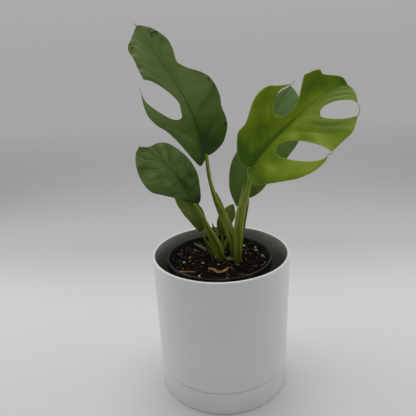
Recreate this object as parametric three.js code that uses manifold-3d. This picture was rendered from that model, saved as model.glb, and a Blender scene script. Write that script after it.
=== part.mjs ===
// A young split-leaf climbing plant in a plastic nursery pot, which stands in a white ceramic
// cover pot on its own flush saucer. Millimetres, +Z up. The origin is the centre of the
// saucer's underside, and -Y is the front.
import * as THREE from "three";
import { mergeVertices } from "three/addons/utils/BufferGeometryUtils.js";
import Module from "manifold-3d";

const wasm = await Module();
wasm.setup();

// ---------------------------------------------------------------- driving dimensions
const GAP = 0.3; // clearance left between pieces that touch

// ceramic cover pot and saucer: one straight, slightly tapered cylinder when put together
const POT_TOP_RADIUS = 65;
const POT_BASE_RADIUS = 63;
const POT_HEIGHT = 137;
const POT_WALL = 2.6;
const POT_FLOOR_TOP = 30;
const POT_FLOOR_THICKNESS = 5;
const DRAIN_RADIUS = 7;
const SAUCER_HEIGHT = 23.4;
const SAUCER_WALL = 3.6;
const SAUCER_FLOOR = 5;
const FOOT_WALL = 3.4;
const FOOT_CLEARANCE = 0.8; // round the foot ring inside the saucer
const SEAM_GAP = 0.4; // the thin line between saucer and pot
const EDGE_ROUND = 1.1;

// plastic nursery pot
const LINER_RIM_RADIUS = 50;
const LINER_BASE_RADIUS = 38;
const LINER_WALL = 1.1;
const LINER_RIM_WIDTH = 2;
const LINER_RIM_DEPTH = 7;
const LINER_BELOW_POT_RIM = 4.8;
const LINER_OFFSET_X = -1.5; // it stands a little to one side
const LINER_HOLE_RADIUS = 4;
const LINER_HOLE_CIRCLE = 24;
const LINER_HOLES = 6;

// potting mix
const SOIL_BELOW_LINER_RIM = 4.2;
const SOIL_MOUND = 1.6;

const PERLITE_FLATNESS = 0.8;
const BARK_FLATNESS = 0.35;

// leaf blades
const BLADE_EDGE_THICKNESS = 0.6;
const BLADE_RIB_THICKNESS = 1.2; // added along the midrib
const BLADE_RIB_WIDTH = 2.5;

// fineness of the faceted surfaces
const POT_SEGMENTS = 48;
const TUBE_SIDES = 10;
const CELLS_OUT = 6; // from midrib to margin
const SEAM_CELLS = 2; // of these, as far as a split's inner end
const SPREAD_PASSES = 80;

// heights that follow from the above
const LINER_BASE_Z = POT_FLOOR_TOP + GAP;
const LINER_RIM_Z = POT_HEIGHT - LINER_BELOW_POT_RIM;
const SOIL_Z = LINER_RIM_Z - SOIL_BELOW_LINER_RIM;

// ---------------------------------------------------------------- colours
const material = (color, roughness) =>
  new THREE.MeshStandardMaterial({ color, roughness, metalness: 0 });
const CERAMIC = material(0xe9e9e6, 0.45);
const PLASTIC = material(0x2c2f30, 0.5);
const SOIL = material(0x1b1412, 0.95);
const PERLITE = material(0xd8ccb0, 0.9);
const BARK = material(0x5a3a26, 0.9);
const STRAW = material(0x9a7434, 0.8);
const STALK = material(0x6a7a30, 0.5);
const NODE_PALE = material(0xa5ab78, 0.5);
const LEAF_DARK = material(0x3f5527, 0.45);
const LEAF_GREY = material(0x4f6244, 0.5);
const LEAF_BRIGHT = material(0x7f9422, 0.4);

const plantPot = new THREE.Group();
const plant = new THREE.Group(); // heights in it are counted from the soil surface
plant.position.z = SOIL_Z;
plantPot.add(plant);

// ---------------------------------------------------------------- solids
function toSolid(geometry) {
  const bare = geometry.index ? geometry.toNonIndexed() : geometry.clone();
  bare.deleteAttribute("normal");
  bare.deleteAttribute("uv");
  const merged = mergeVertices(bare, 1e-3);
  return new wasm.Manifold(
    new wasm.Mesh({
      numProp: 3,
      vertProperties: new Float32Array(merged.attributes.position.array),
      triVerts: new Uint32Array(merged.index.array),
    }),
  );
}

function toGeometry(solid) {
  const mesh = solid.getMesh();
  const geometry = new THREE.BufferGeometry();
  geometry.setAttribute("position", new THREE.BufferAttribute(mesh.vertProperties, 3));
  geometry.setIndex(new THREE.BufferAttribute(mesh.triVerts, 1));
  geometry.computeVertexNormals();
  return geometry;
}

// What is left of a solid after a cut, without loose slivers.
const largest = (solid) => solid.decompose().sort((a, b) => b.volume() - a.volume())[0];

function addPiece(group, name, geometry, finish) {
  const mesh = new THREE.Mesh(geometry, finish);
  mesh.name = name;
  group.add(mesh);
  return mesh;
}

// Turns a profile of [radius, height] about +Z. The profile runs anticlockwise in that plane.
function turned(profile, segments = POT_SEGMENTS) {
  const points = profile.map(([r, z]) => new THREE.Vector2(r, z));
  return new THREE.LatheGeometry(points, segments).rotateX(Math.PI / 2);
}

// A quarter round of a corner, from one angle to another, as profile points.
function corner(centreR, centreZ, radius, from, to, steps = 4) {
  return Array.from({ length: steps + 1 }, (_, i) => {
    const a = THREE.MathUtils.degToRad(from + ((to - from) * i) / steps);
    return [centreR + radius * Math.cos(a), centreZ + radius * Math.sin(a)];
  });
}

// A closed tube along a smooth path. Each station is [x, y, z, halfWidth, halfDepth]: the width
// lies across the path as seen from the front, and the depth lies front to back.
function tubeGeometry(stations, steps, grow = 0, sides = TUBE_SIDES) {
  const path = new THREE.CatmullRomCurve3(stations.map((s) => new THREE.Vector3(...s)));
  const sizes = new THREE.CatmullRomCurve3(stations.map((s) => new THREE.Vector3(s[3], s[4], 0)));
  const vertices = [];
  for (let i = 0; i <= steps; i++) {
    const t = i / steps;
    const centre = path.getPoint(t);
    const tangent = path.getTangent(t);
    const size = sizes.getPoint(t);
    if (i === 0) centre.addScaledVector(tangent, -grow);
    if (i === steps) centre.addScaledVector(tangent, grow);
    const across = new THREE.Vector3().crossVectors(tangent, new THREE.Vector3(0, -1, 0)).normalize();
    const depth = new THREE.Vector3().crossVectors(across, tangent).normalize();
    for (let j = 0; j < sides; j++) {
      const a = (2 * Math.PI * j) / sides;
      vertices.push(
        centre
          .clone()
          .addScaledVector(across, (size.x + grow) * Math.cos(a))
          .addScaledVector(depth, (size.y + grow) * Math.sin(a)),
      );
    }
  }
  vertices.push(path.getPoint(0).addScaledVector(path.getTangent(0), -grow));
  vertices.push(path.getPoint(1).addScaledVector(path.getTangent(1), grow));
  const start = vertices.length - 2;
  const end = vertices.length - 1;
  const faces = [];
  for (let j = 0; j < sides; j++) {
    const k = (j + 1) % sides;
    for (let i = 0; i < steps; i++) {
      const [a, b, c, d] = [i * sides + j, i * sides + k, (i + 1) * sides + k, (i + 1) * sides + j];
      faces.push(a, b, c, a, c, d);
    }
    faces.push(start, k, j, end, steps * sides + j, steps * sides + k);
  }
  const geometry = new THREE.BufferGeometry();
  const positions = vertices.flatMap((v) => v.toArray());
  geometry.setAttribute("position", new THREE.Float32BufferAttribute(positions, 3));
  geometry.setIndex(faces);
  return geometry;
}

// A solid that faces outwards, whichever way its geometry was wound.
function solidTube(stations, steps, grow, sides) {
  const geometry = tubeGeometry(stations, steps, grow, sides);
  const solid = toSolid(geometry);
  if (solid.volume() > 0) return solid;
  geometry.setIndex([...geometry.index.array].reverse());
  return toSolid(geometry);
}

// ---------------------------------------------------------------- pots
const potRadiusAt = (z) => POT_BASE_RADIUS + ((POT_TOP_RADIUS - POT_BASE_RADIUS) * z) / POT_HEIGHT;
const SAUCER_INNER = POT_BASE_RADIUS - SAUCER_WALL;
const FOOT_OUTER = SAUCER_INNER - FOOT_CLEARANCE;
const FOOT_INNER = FOOT_OUTER - FOOT_WALL;

function makeSaucer() {
  const rimZ = SAUCER_HEIGHT;
  const rimR = potRadiusAt(rimZ);
  const profile = [
    [0, 0],
    ...corner(POT_BASE_RADIUS - EDGE_ROUND, EDGE_ROUND, EDGE_ROUND, -90, 0),
    ...corner(rimR - EDGE_ROUND / 2, rimZ - EDGE_ROUND / 2, EDGE_ROUND / 2, 0, 90, 2),
    [SAUCER_INNER, rimZ],
    [SAUCER_INNER, SAUCER_FLOOR],
    [0, SAUCER_FLOOR],
  ];
  addPiece(plantPot, "saucer", turned(profile), CERAMIC);
}

function makeCeramicPot() {
  const seamZ = SAUCER_HEIGHT + SEAM_GAP;
  const lipZ = POT_HEIGHT - POT_WALL / 2;
  const lipR = POT_TOP_RADIUS - POT_WALL / 2;
  const floorInner = potRadiusAt(POT_FLOOR_TOP) - POT_WALL * 1.3;
  const footTop = POT_FLOOR_TOP - POT_FLOOR_THICKNESS;
  const footZ = SAUCER_FLOOR + GAP;
  const profile = [
    [DRAIN_RADIUS, footTop],
    [FOOT_INNER, footTop],
    [FOOT_INNER, footZ],
    [FOOT_OUTER, footZ],
    [FOOT_OUTER, seamZ],
    ...corner(potRadiusAt(seamZ) - EDGE_ROUND / 2, seamZ + EDGE_ROUND / 2, EDGE_ROUND / 2, -90, 0, 2),
    ...corner(lipR, lipZ, POT_WALL / 2, 0, 180, 6),
    [floorInner, POT_FLOOR_TOP + EDGE_ROUND],
    [floorInner - EDGE_ROUND, POT_FLOOR_TOP],
    [DRAIN_RADIUS, POT_FLOOR_TOP],
    [DRAIN_RADIUS, footTop],
  ];
  addPiece(plantPot, "ceramic_pot", turned(profile), CERAMIC);
}

const linerRadiusAt = (z) =>
  LINER_BASE_RADIUS +
  ((LINER_RIM_RADIUS - LINER_RIM_WIDTH + LINER_WALL - LINER_BASE_RADIUS) * (z - LINER_BASE_Z)) /
    (LINER_RIM_Z - LINER_BASE_Z);

function makeNurseryPot() {
  const rimBottom = LINER_RIM_Z - LINER_RIM_DEPTH;
  const innerTop = linerRadiusAt(LINER_RIM_Z) - LINER_WALL;
  const profile = [
    [0, LINER_BASE_Z],
    [LINER_BASE_RADIUS, LINER_BASE_Z],
    [linerRadiusAt(rimBottom), rimBottom],
    [LINER_RIM_RADIUS, rimBottom],
    [LINER_RIM_RADIUS, LINER_RIM_Z - LINER_WALL / 2],
    [LINER_RIM_RADIUS - LINER_WALL / 2, LINER_RIM_Z],
    [innerTop, LINER_RIM_Z],
    [LINER_BASE_RADIUS - LINER_WALL, LINER_BASE_Z + LINER_WALL],
    [0, LINER_BASE_Z + LINER_WALL],
  ];
  let shell = toSolid(turned(profile));
  for (let i = 0; i < LINER_HOLES; i++) {
    const a = (2 * Math.PI * i) / LINER_HOLES;
    const drill = new THREE.CylinderGeometry(LINER_HOLE_RADIUS, LINER_HOLE_RADIUS, 6 * LINER_WALL, 12);
    drill.rotateX(Math.PI / 2);
    drill.translate(LINER_HOLE_CIRCLE * Math.cos(a), LINER_HOLE_CIRCLE * Math.sin(a), LINER_BASE_Z);
    shell = shell.subtract(toSolid(drill));
  }
  addPiece(plantPot, "nursery_pot", toGeometry(shell), PLASTIC).position.x = LINER_OFFSET_X;
}

// ---------------------------------------------------------------- plant: stalks
// Stations are [x, y, height above the soil, half width, half depth].
const CROWN = [
  [-9, 11, -4, 2.5, 2.5],
  [-6, 8, -3.5, 5, 4.5],
  [0, 0, -3.5, 5.5, 5],
  [9, -3.5, -3.5, 6, 5],
  [18, -7, -3.5, 5.5, 5],
  [21, -8, -4, 2.5, 2.5],
];
const STALKS = {
  tall_leaf_stalk: [
    [13.4, -1.7, -1, 3.4, 2.6],
    [11.7, -2.5, 17, 3.9, 2.6],
    [7.6, -3.3, 33, 4.6, 2.4],
    [2.1, -4, 49, 3.9, 2.2],
    [-2.6, -3.5, 60, 2.6, 2],
    [-6.4, -3, 73.6, 1.8, 1.7],
    [-8.4, -2, 84.5, 1.7, 1.6],
    [-10, -0.2, 101, 1.6, 1.5],
  ],
  bright_leaf_stalk: [
    [15.3, -8.4, -1, 3.7, 3],
    [15.9, -10, 19.6, 3.8, 3],
    [16.8, -11.7, 35, 4.1, 2.7],
    [19.3, -12.8, 51, 3.8, 2.4],
    [23.2, -13.4, 65, 3, 2.2],
    [26.4, -14, 78, 2, 1.9],
    [27, -14, 91, 1.7, 1.7],
  ],
  back_leaf_stalk: [
    [17.4, 4.8, -4, 2.6, 2.4],
    [18.2, 5.6, 8, 2.7, 2.4],
    [20, 7, 19, 2.6, 2.2],
    [23, 9.4, 34, 2.1, 1.9],
    [26.2, 11.8, 49, 1.7, 1.6],
    [27, 13, 58, 1.5, 1.5],
  ],
  left_leaf_stalk: [
    [0.9, -1, -1, 3.6, 2.8],
    [-3.2, -2.2, 13, 4.4, 2.6],
    [-7.5, -3.4, 25, 4, 2.3],
    [-11.9, -5.4, 36, 2.4, 1.9],
    [-16, -8.4, 48, 1.8, 1.6],
    [-21.6, -11.4, 59.4, 1.5, 1.4],
  ],
  low_left_leaf_stalk: [
    [-6.7, 8, -1, 3, 2.4],
    [-10.8, 5.4, 10, 2, 1.7],
    [-14.4, 2.6, 18.5, 1.2, 1.1],
    [-17.8, 0.1, 26.8, 1, 1],
  ],
  small_back_leaf_stalk: [
    [3.4, 11.5, -8, 1.5, 1.4],
    [2.4, 12.5, 2, 1.4, 1.2],
    [1.6, 14, 9, 1.1, 1],
    [2, 15, 17, 0.9, 0.9],
  ],
};
const SHOOTS = {
  bud_scale: [
    [-2.2, 8.2, -7, 2.2, 1.4],
    [-3, 8, 10, 2.6, 1.3],
    [-4.6, 8, 22, 1.9, 1.1],
    [-7.2, 8, 34, 0.3, 0.3],
  ],
  young_shoot: [
    [3.2, 20, -7, 1.2, 1.2],
    [4, 20, 2, 1.6, 1.4],
    [5.4, 20, 8, 1.5, 1.3],
    [6.6, 20, 12, 0.4, 0.4],
  ],
};
const SHEATHS = {
  tall_leaf_sheath: [
    [8.6, -5, 26, 0.4, 0.5],
    [6.2, -5.3, 38, 2, 1.1],
    [3.3, -5.2, 50, 2.2, 1],
    [0.4, -4.6, 60, 1.4, 0.8],
    [-2.6, -4.2, 68, 0.3, 0.3],
  ],
  bright_leaf_sheath: [
    [14.6, -12.4, 26, 0.5, 0.5],
    [15.4, -13.9, 42, 2, 1],
    [18, -14.2, 56, 1.9, 0.9],
    [20.6, -13.7, 68, 1.2, 0.7],
    [22, -13, 77, 0.25, 0.25],
  ],
};
const ROOT_NUBS = [ // x, y, height above the soil, radius
  [8, -6.2, -1.2, 2.6],
  [14.6, -12.4, -1, 2.2],
];
const STALK_STEPS = 14;
const SHOOT_STEPS = 8;

// ---------------------------------------------------------------- plant: blades
// A blade lies in its own plane: u runs to the right as its upper side is seen, v from base to
// tip, both in millimetres for a blade of its natural length. It starts where its stalk ends.
// Each side is a list of lobes, from the base up. A lobe has its margin, and a side's splits
// give the rounded inner end and the two edges of the notch between one lobe and the next.
const BLADES = {
  tall_split_leaf: {
    stalk: "tall_leaf_stalk",
    rows: 30, // steps from base to tip; a split starts from one of them
    toTip: [-57, 30, 111],
    face: [0.15, -1, 0.45],
    length: 128,
    fold: 0.12,
    arch: 0.03,
    finish: LEAF_DARK,
    midrib: [[0, 0], [3, 18], [6, 40], [6, 59], [4, 81], [2, 103], [1, 118], [0, 129]],
    right: {
      lobes: [
        [[0, 0], [4, -1], [11, 0], [20, 4], [28, 13], [31, 21], [32, 31], [35, 40], [36, 51],
          [34, 61], [29, 68], [22, 75], [17, 81], [16, 87], [18, 96], [18, 105], [15, 114],
          [10, 122], [4, 127], [0, 129]],
      ],
      splits: [],
    },
    left: {
      lobes: [
        [[0, 0], [-3, -3], [-9, -6], [-12, 1], [-15, 13], [-18, 24], [-22, 34], [-27, 42],
          [-30, 52], [-29, 63], [-25, 75]],
        [[-18, 83], [-18, 91], [-17, 102], [-17, 113], [-9, 121], [0, 129]],
      ],
      splits: [
        {
          row: 10,
          inner: [-2, 44],
          lower: [[-4, 39], [-9, 39], [-14, 43], [-20, 52], [-25, 62], [-26, 68], [-25, 75]],
          upper: [[0, 52], [-3, 62], [-8, 72], [-13, 79], [-18, 83]],
        },
      ],
    },
  },
  bright_split_leaf: {
    stalk: "bright_leaf_stalk",
    rows: 30, // steps from base to tip; a split starts from one of them
    toTip: [82, 8, 66],
    face: [-0.25, -1, 0.55],
    length: 106,
    fold: 0.3,
    arch: 0.03,
    finish: LEAF_BRIGHT,
    midrib: [[0, 0], [-4, 24], [-6, 47], [-7, 66], [-7, 83], [-5, 98], [0, 106]],
    right: {
      lobes: [
        [[0, 0], [2, -3], [5, -5], [11, -7], [17, -3], [21, 2], [28, 12], [36, 24], [40, 35],
          [41, 44], [40, 51], [37, 55]],
        [[38, 58], [37, 70], [36, 80], [31, 88], [28, 92]],
        [[20, 99], [14, 103], [7, 106], [0, 106]],
      ],
      splits: [
        {
          row: 6,
          inner: [3, 28],
          lower: [[7, 25], [15, 28], [24, 34], [33, 42], [38, 50], [37, 55]],
          upper: [[2, 32], [5, 39], [13, 47], [21, 52], [29, 56], [38, 58]],
        },
        {
          row: 18,
          inner: [3, 75],
          lower: [[8, 72], [16, 77], [23, 84], [28, 92]],
          upper: [[2, 80], [5, 89], [11, 96], [16, 99], [20, 99]],
        },
      ],
    },
    left: {
      lobes: [
        [[0, 0], [-4, -2], [-10, -2], [-17, 1], [-24, 7], [-29, 13], [-30, 22], [-35, 31],
          [-40, 40], [-42, 49], [-41, 57], [-37, 62], [-32, 69], [-29, 74]],
        [[-29, 85], [-25, 97], [-20, 97], [-13, 103], [-7, 107], [0, 106]],
      ],
      splits: [
        {
          row: 11,
          inner: [-15, 49],
          lower: [[-19, 46], [-24, 48], [-29, 53], [-32, 61], [-31, 68], [-29, 74]],
          upper: [[-13, 54], [-14, 62], [-18, 70], [-24, 78], [-29, 85]],
        },
      ],
    },
  },
  left_leaf: {
    stalk: "left_leaf_stalk",
    rows: 18, // steps from base to tip; a split starts from one of them
    toTip: [-46, 3.5, 53.4],
    face: [-0.1, -1, 0.5],
    length: 70.4,
    fold: 0.1,
    arch: 0.06,
    finish: LEAF_DARK,
    midrib: [[0, 0], [3, 17], [6, 28], [6, 38], [6, 49], [3, 61], [0, 71]],
    right: {
      lobes: [
        [[0, 0], [3, -2], [8, 1], [15, 10], [20, 18], [23, 27], [24, 36], [23, 46], [20, 56],
          [14, 62], [6, 65], [0, 71]],
      ],
      splits: [],
    },
    left: {
      lobes: [
        [[0, 0], [-4, 7], [-9, 17], [-15, 27], [-20, 36], [-19, 49], [-14, 60], [-7, 68], [0, 71]],
      ],
      splits: [],
    },
  },
  low_left_leaf: {
    stalk: "low_left_leaf_stalk",
    rows: 14, // steps from base to tip; a split starts from one of them
    toTip: [-22, 6, 40],
    face: [0.5, -1, 0.5],
    length: 46,
    fold: 0.15,
    arch: 0.02,
    finish: LEAF_DARK,
    midrib: [[0, 0], [2, 13], [3, 27], [1, 46]],
    right: {
      lobes: [[[0, 0], [7, 3], [11, 9], [13, 17], [12, 25], [8, 35], [1, 46]]],
      splits: [],
    },
    left: {
      lobes: [[[0, 0], [-2, 5], [-4, 15], [-6, 26], [-6, 36], [-4, 42], [1, 46]]],
      splits: [],
    },
  },
  back_leaf: {
    stalk: "back_leaf_stalk",
    rows: 18, // steps from base to tip; a split starts from one of them
    toTip: [42, 21, 98],
    face: [-0.2, -1, 0.4],
    length: 108.7,
    fold: 0.15,
    arch: 0.03,
    finish: LEAF_GREY,
    midrib: [[0, 0], [-5, 24], [-6, 53], [-4, 83], [0, 109]],
    right: {
      lobes: [
        [[0, 0], [4, 0], [10, 8], [13, 16], [17, 28], [22, 46], [26, 62], [25, 78], [18, 92],
          [10, 102], [0, 109]],
      ],
      splits: [],
    },
    left: {
      lobes: [
        [[0, 0], [-2, -8], [-6, -13], [-11, -9], [-18, 0], [-23, 12], [-25, 24], [-24, 36],
          [-22, 50], [-19, 66], [-14, 86], [-7, 100], [0, 109]],
      ],
      splits: [],
    },
  },
  small_back_leaf: {
    stalk: "small_back_leaf_stalk",
    rows: 12, // steps from base to tip; a split starts from one of them
    toTip: [12, 5, 31],
    face: [0.3, -1, 0.2],
    length: 33.6,
    fold: 0.15,
    arch: 0.02,
    finish: LEAF_GREY,
    midrib: [[0, 0], [-1, 11], [-1, 23], [0, 34]],
    right: {
      lobes: [[[0, 0], [2, 3], [4, 10], [5, 18], [5, 25], [0, 34]]],
      splits: [],
    },
    left: {
      lobes: [[[0, 0], [-4, 2], [-9, 8], [-11, 15], [-10, 23], [-5, 31], [0, 34]]],
      splits: [],
    },
  },
};

const curve2 = (points) => new THREE.SplineCurve(points.map((p) => new THREE.Vector2(...p)));

// Position and axes of a blade's plane, and its height over that plane at each (u, v).
function bladeFrame(blade) {
  const stations = STALKS[blade.stalk];
  const path = new THREE.CatmullRomCurve3(stations.map((s) => new THREE.Vector3(...s)));
  const along = new THREE.Vector3(...blade.toTip).normalize();
  const base = path.getPoint(1);
  const face = new THREE.Vector3(...blade.face);
  const up = face.addScaledVector(along, -face.dot(along)).normalize();
  const across = new THREE.Vector3().crossVectors(along, up);
  const natural = blade.midrib.at(-1)[1];
  const scale = blade.length / natural;
  const ribPoints = curve2(blade.midrib).getSpacedPoints(40);
  const ribAt = (v) => {
    const i = ribPoints.findIndex((p) => p.y >= v);
    if (i === -1) return ribPoints.at(-1).x;
    if (i === 0) return ribPoints[0].x;
    const [a, b] = [ribPoints[i - 1], ribPoints[i]];
    return a.x + ((b.x - a.x) * (v - a.y)) / (b.y - a.y || 1);
  };
  const point = (u, v, side) => {
    const d = u - ribAt(v);
    const share = THREE.MathUtils.clamp(v / natural, -0.2, 1.2);
    const folded = blade.fold * (Math.hypot(d, 3) - 3);
    const arched = blade.arch * natural * 4 * share * (1 - share);
    const rib = BLADE_RIB_THICKNESS * Math.exp(-((d / BLADE_RIB_WIDTH) ** 2)) * Math.max(0, 1 - share);
    const half = (side * (BLADE_EDGE_THICKNESS + (side < 0 ? rib : 0))) / 2;
    return base
      .clone()
      .addScaledVector(across, u * scale)
      .addScaledVector(along, v * scale)
      .addScaledVector(up, (folded + arched) * scale + half);
  };
  return point;
}

// The edge of a lobe along a split, from the midrib out: first the seam it shares with the next
// lobe, up to the split's inner end, then the open edge. Both are divided evenly, and each
// division comes with its share of the whole length. Without a split it stays on the midrib.
function splitEdge(start, inner, points) {
  if (!points) {
    return Array.from({ length: CELLS_OUT + 1 }, (_, i) => [start, i / CELLS_OUT]);
  }
  const end = new THREE.Vector2(...inner);
  const open = curve2([inner, ...points]);
  const seamLength = start.distanceTo(end);
  const whole = seamLength + open.getLength();
  return Array.from({ length: CELLS_OUT + 1 }, (_, i) => {
    if (i <= SEAM_CELLS) {
      const t = i / SEAM_CELLS;
      return [start.clone().lerp(end, t), (t * seamLength) / whole];
    }
    const t = (i - SEAM_CELLS) / (CELLS_OUT - SEAM_CELLS);
    return [open.getPointAt(t), 1 - ((1 - t) * (whole - seamLength)) / whole];
  });
}

// The four borders of one lobe, blended into a grid of (u, v) points: lines of equal share from
// the midrib to the margin, each running from the lower split to the upper one.
function lobeGrid(rib, rows, from, to, margin, lower, upper) {
  const rim = curve2(margin);
  const ribPoint = (row) => rib.getPoint(row / rows);
  const lowerEdge = splitEdge(ribPoint(from), lower?.inner, lower?.points);
  const upperEdge = splitEdge(ribPoint(to), upper?.inner, upper?.points);
  const grid = lowerEdge.map(([lowerPoint, lowerShare], i) => {
    const [upperPoint, upperShare] = upperEdge[i];
    const line = [];
    for (let row = from; row <= to; row++) {
      const q = (row - from) / (to - from);
      const p = lowerShare * (1 - q) + upperShare * q;
      const point = new THREE.Vector2();
      point.addScaledVector(ribPoint(row), 1 - p);
      point.addScaledVector(rim.getPoint(q), p);
      point.addScaledVector(lowerPoint, 1 - q);
      point.addScaledVector(upperPoint, q);
      point.addScaledVector(ribPoint(from), -(1 - p) * (1 - q));
      point.addScaledVector(ribPoint(to), -(1 - p) * q);
      point.addScaledVector(rim.getPoint(0), -p * (1 - q));
      point.addScaledVector(rim.getPoint(1), -p * q);
      line.push(point);
    }
    return line;
  });
  spread(grid);
  return grid.map((line) => line.map((point) => point.toArray()));
}

// Moves the inner points of a grid until its cells lie side by side without folding over, as
// in an elliptic grid: each point goes to a mean of its neighbours, weighted by the cell shape.
function spread(grid) {
  for (let pass = 0; pass < SPREAD_PASSES; pass++) {
    for (let i = 1; i < grid.length - 1; i++) {
      for (let j = 1; j < grid[i].length - 1; j++) {
        const out = grid[i + 1][j].clone().sub(grid[i - 1][j]).divideScalar(2);
        const on = grid[i][j + 1].clone().sub(grid[i][j - 1]).divideScalar(2);
        const skew = grid[i + 1][j + 1].clone().sub(grid[i - 1][j + 1]);
        skew.sub(grid[i + 1][j - 1]).add(grid[i - 1][j - 1]);
        const [a, b, c] = [on.lengthSq(), out.dot(on), out.lengthSq()];
        grid[i][j]
          .set(0, 0)
          .addScaledVector(grid[i + 1][j], a)
          .addScaledVector(grid[i - 1][j], a)
          .addScaledVector(grid[i][j + 1], c)
          .addScaledVector(grid[i][j - 1], c)
          .addScaledVector(skew, -b / 2)
          .divideScalar(2 * (a + c));
      }
    }
  }
}

// Every lobe's grid of one blade, with the way round that keeps its upper side up.
function bladeGrids(blade) {
  const rib = curve2(blade.midrib);
  const grids = [];
  for (const [side, turn] of [["right", 1], ["left", -1]]) {
    const { lobes, splits } = blade[side];
    lobes.forEach((margin, i) => {
      const below = splits[i - 1];
      const above = splits[i];
      const lowerEdge = below && { inner: below.inner, points: below.upper };
      const upperEdge = above && { inner: above.inner, points: above.lower };
      const from = below ? below.row : 0;
      const to = above ? above.row : blade.rows;
      grids.push({ turn, grid: lobeGrid(rib, blade.rows, from, to, margin, lowerEdge, upperEdge) });
    });
  }
  return grids;
}

const areaOf = ([ax, ay], [bx, by], [cx, cy]) =>
  ((bx - ax) * (cy - ay) - (cx - ax) * (by - ay)) / 2;

// A blade as one closed solid: upper and lower surface over the welded grids, and a wall along
// every edge that only one cell has.
function bladeGeometry(blade) {
  const point = bladeFrame(blade);
  const indexOf = new Map();
  const places = [];
  const weld = ([u, v]) => {
    const key = Math.round(100 * u) + " " + Math.round(100 * v);
    if (!indexOf.has(key)) {
      indexOf.set(key, places.length);
      places.push([u, v]);
    }
    return indexOf.get(key);
  };
  const cells = [];
  for (const { grid, turn } of bladeGrids(blade)) {
    for (let i = 0; i < grid.length - 1; i++) {
      for (let j = 0; j < grid[i].length - 1; j++) {
        const corners = [grid[i][j], grid[i + 1][j], grid[i + 1][j + 1], grid[i][j + 1]];
        const [a, b, c, d] = corners.map(weld);
        const size = (half) => turn * areaOf(...half.map((k) => places[k]));
        const worst = (halves) => Math.min(...halves.map(size));
        const oneWay = [[a, b, c], [a, c, d]];
        const other = [[a, b, d], [b, c, d]];
        for (const [x, y, z] of worst(oneWay) < worst(other) - 0.01 ? other : oneWay) {
          if (x === y || y === z || z === x) continue;
          cells.push(turn > 0 ? [x, y, z] : [x, z, y]);
        }
      }
    }
  }
  const n = places.length;
  const vertices = [1, -1].flatMap((side) => places.flatMap(([u, v]) => point(u, v, side).toArray()));
  const edges = new Set(cells.flatMap(([x, y, z]) => [x + " " + y, y + " " + z, z + " " + x]));
  const faces = cells.flatMap(([x, y, z]) => [x, y, z, n + x, n + z, n + y]);
  for (const edge of edges) {
    const [x, y] = edge.split(" ").map(Number);
    if (edges.has(y + " " + x)) continue;
    faces.push(y, x, n + x, y, n + x, n + y);
  }
  const geometry = new THREE.BufferGeometry();
  geometry.setAttribute("position", new THREE.Float32BufferAttribute(vertices, 3));
  geometry.setIndex(faces);
  return geometry;
}

// ---------------------------------------------------------------- what lies on the soil
// Each is [x, y, size, turn about Z in degrees]. The places are for a soil surface of
// SCATTER_RADIUS, and move in or out with the real one.
const SCATTER_RADIUS = 48;
const scatter = (LINER_RIM_RADIUS - LINER_RIM_WIDTH) / SCATTER_RADIUS;
const PERLITE_GRAINS = [
  [-35, -7, 2, 10], [-17, -11, 2.2, 50], [-30, 3, 1.8, 80], [-26, 20, 2, 20], [-20, -36, 2.2, 65],
  [-33, -31, 1.7, 35], [35, 25, 1.7, 5], [35, 15, 2, 40], [40, 3, 2.2, 75], [24, 26, 1.8, 15],
  [-3, -16, 1.8, 55], [5, -41, 1.7, 25],
];
const BARK_CHIPS = [
  [-40, 12, 3.6, 30], [-34, 27, 3.2, 80], [-12, 38, 3.4, 10], [32, -18, 3.6, 120],
  [18, -34, 3.3, 60], [-12, -42, 3, 150], [20, 38, 3.2, 45],
];
const STRIPS = {
  dry_sheath_strip: [
    [-12, -22, 0.6, 1.4, 0.7],
    [-7.6, -23.6, 1, 1.7, 0.7],
    [-3, -29, 0.6, 1.5, 0.7],
    [2.4, -28, 1, 1.5, 0.7],
    [7, -20.5, 0.8, 0.9, 0.6],
  ],
  root_fibre: [
    [-42, -23, 0.6, 0.5, 0.5],
    [-35, -26.6, 1, 0.8, 0.7],
    [-28, -26, 0.6, 0.7, 0.6],
    [-23, -28, 0.8, 0.5, 0.5],
  ],
  fallen_leaf_scrap: [
    [-28, 38, 1, 0.6, 0.5],
    [-24, 31, 1.8, 2, 0.6],
    [-18, 22, 1.8, 2.2, 0.6],
    [-14, 15, 1, 0.8, 0.5],
  ],
};

// Height of the bumpy soil surface over its mean level.
function soilHeight(x, y) {
  const r = Math.hypot(x, y) / (LINER_RIM_RADIUS - LINER_RIM_WIDTH);
  const mound = SOIL_MOUND * (0.5 - r * r);
  const lumps = 0.5 * Math.sin(0.31 * x + 0.4) * Math.cos(0.27 * y);
  const crumbs = 0.3 * Math.sin(0.73 * x) * Math.sin(0.61 * y + 1);
  return mound + lumps + crumbs;
}

const grain = ([placeX, placeY, size, degrees], flatness, grow = 0) => {
  const [x, y] = [placeX * scatter, placeY * scatter];
  const shape = new THREE.IcosahedronGeometry(1, 0);
  shape.scale(size + grow, 0.75 * size + grow, flatness * size + grow);
  shape.rotateZ(THREE.MathUtils.degToRad(degrees));
  shape.translate(x, y, soilHeight(x, y) + 0.25 * flatness * size);
  return shape;
};

const lying = (stations) =>
  stations.map(([placeX, placeY, lift, w, d]) => {
    const [x, y] = [placeX * scatter, placeY * scatter];
    return [x, y, soilHeight(x, y) + lift, w, d];
  });

// ---------------------------------------------------------------- assembly
makeSaucer();
makeCeramicPot();
makeNurseryPot();

const seats = []; // what the soil is hollowed out for, a clearance wider than the piece
const crown = solidTube(CROWN, STALK_STEPS, 0);
const crownSeat = solidTube(CROWN, STALK_STEPS, GAP);
addPiece(plant, "stem_crown", toGeometry(crown), NODE_PALE);
seats.push(crownSeat);

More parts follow.
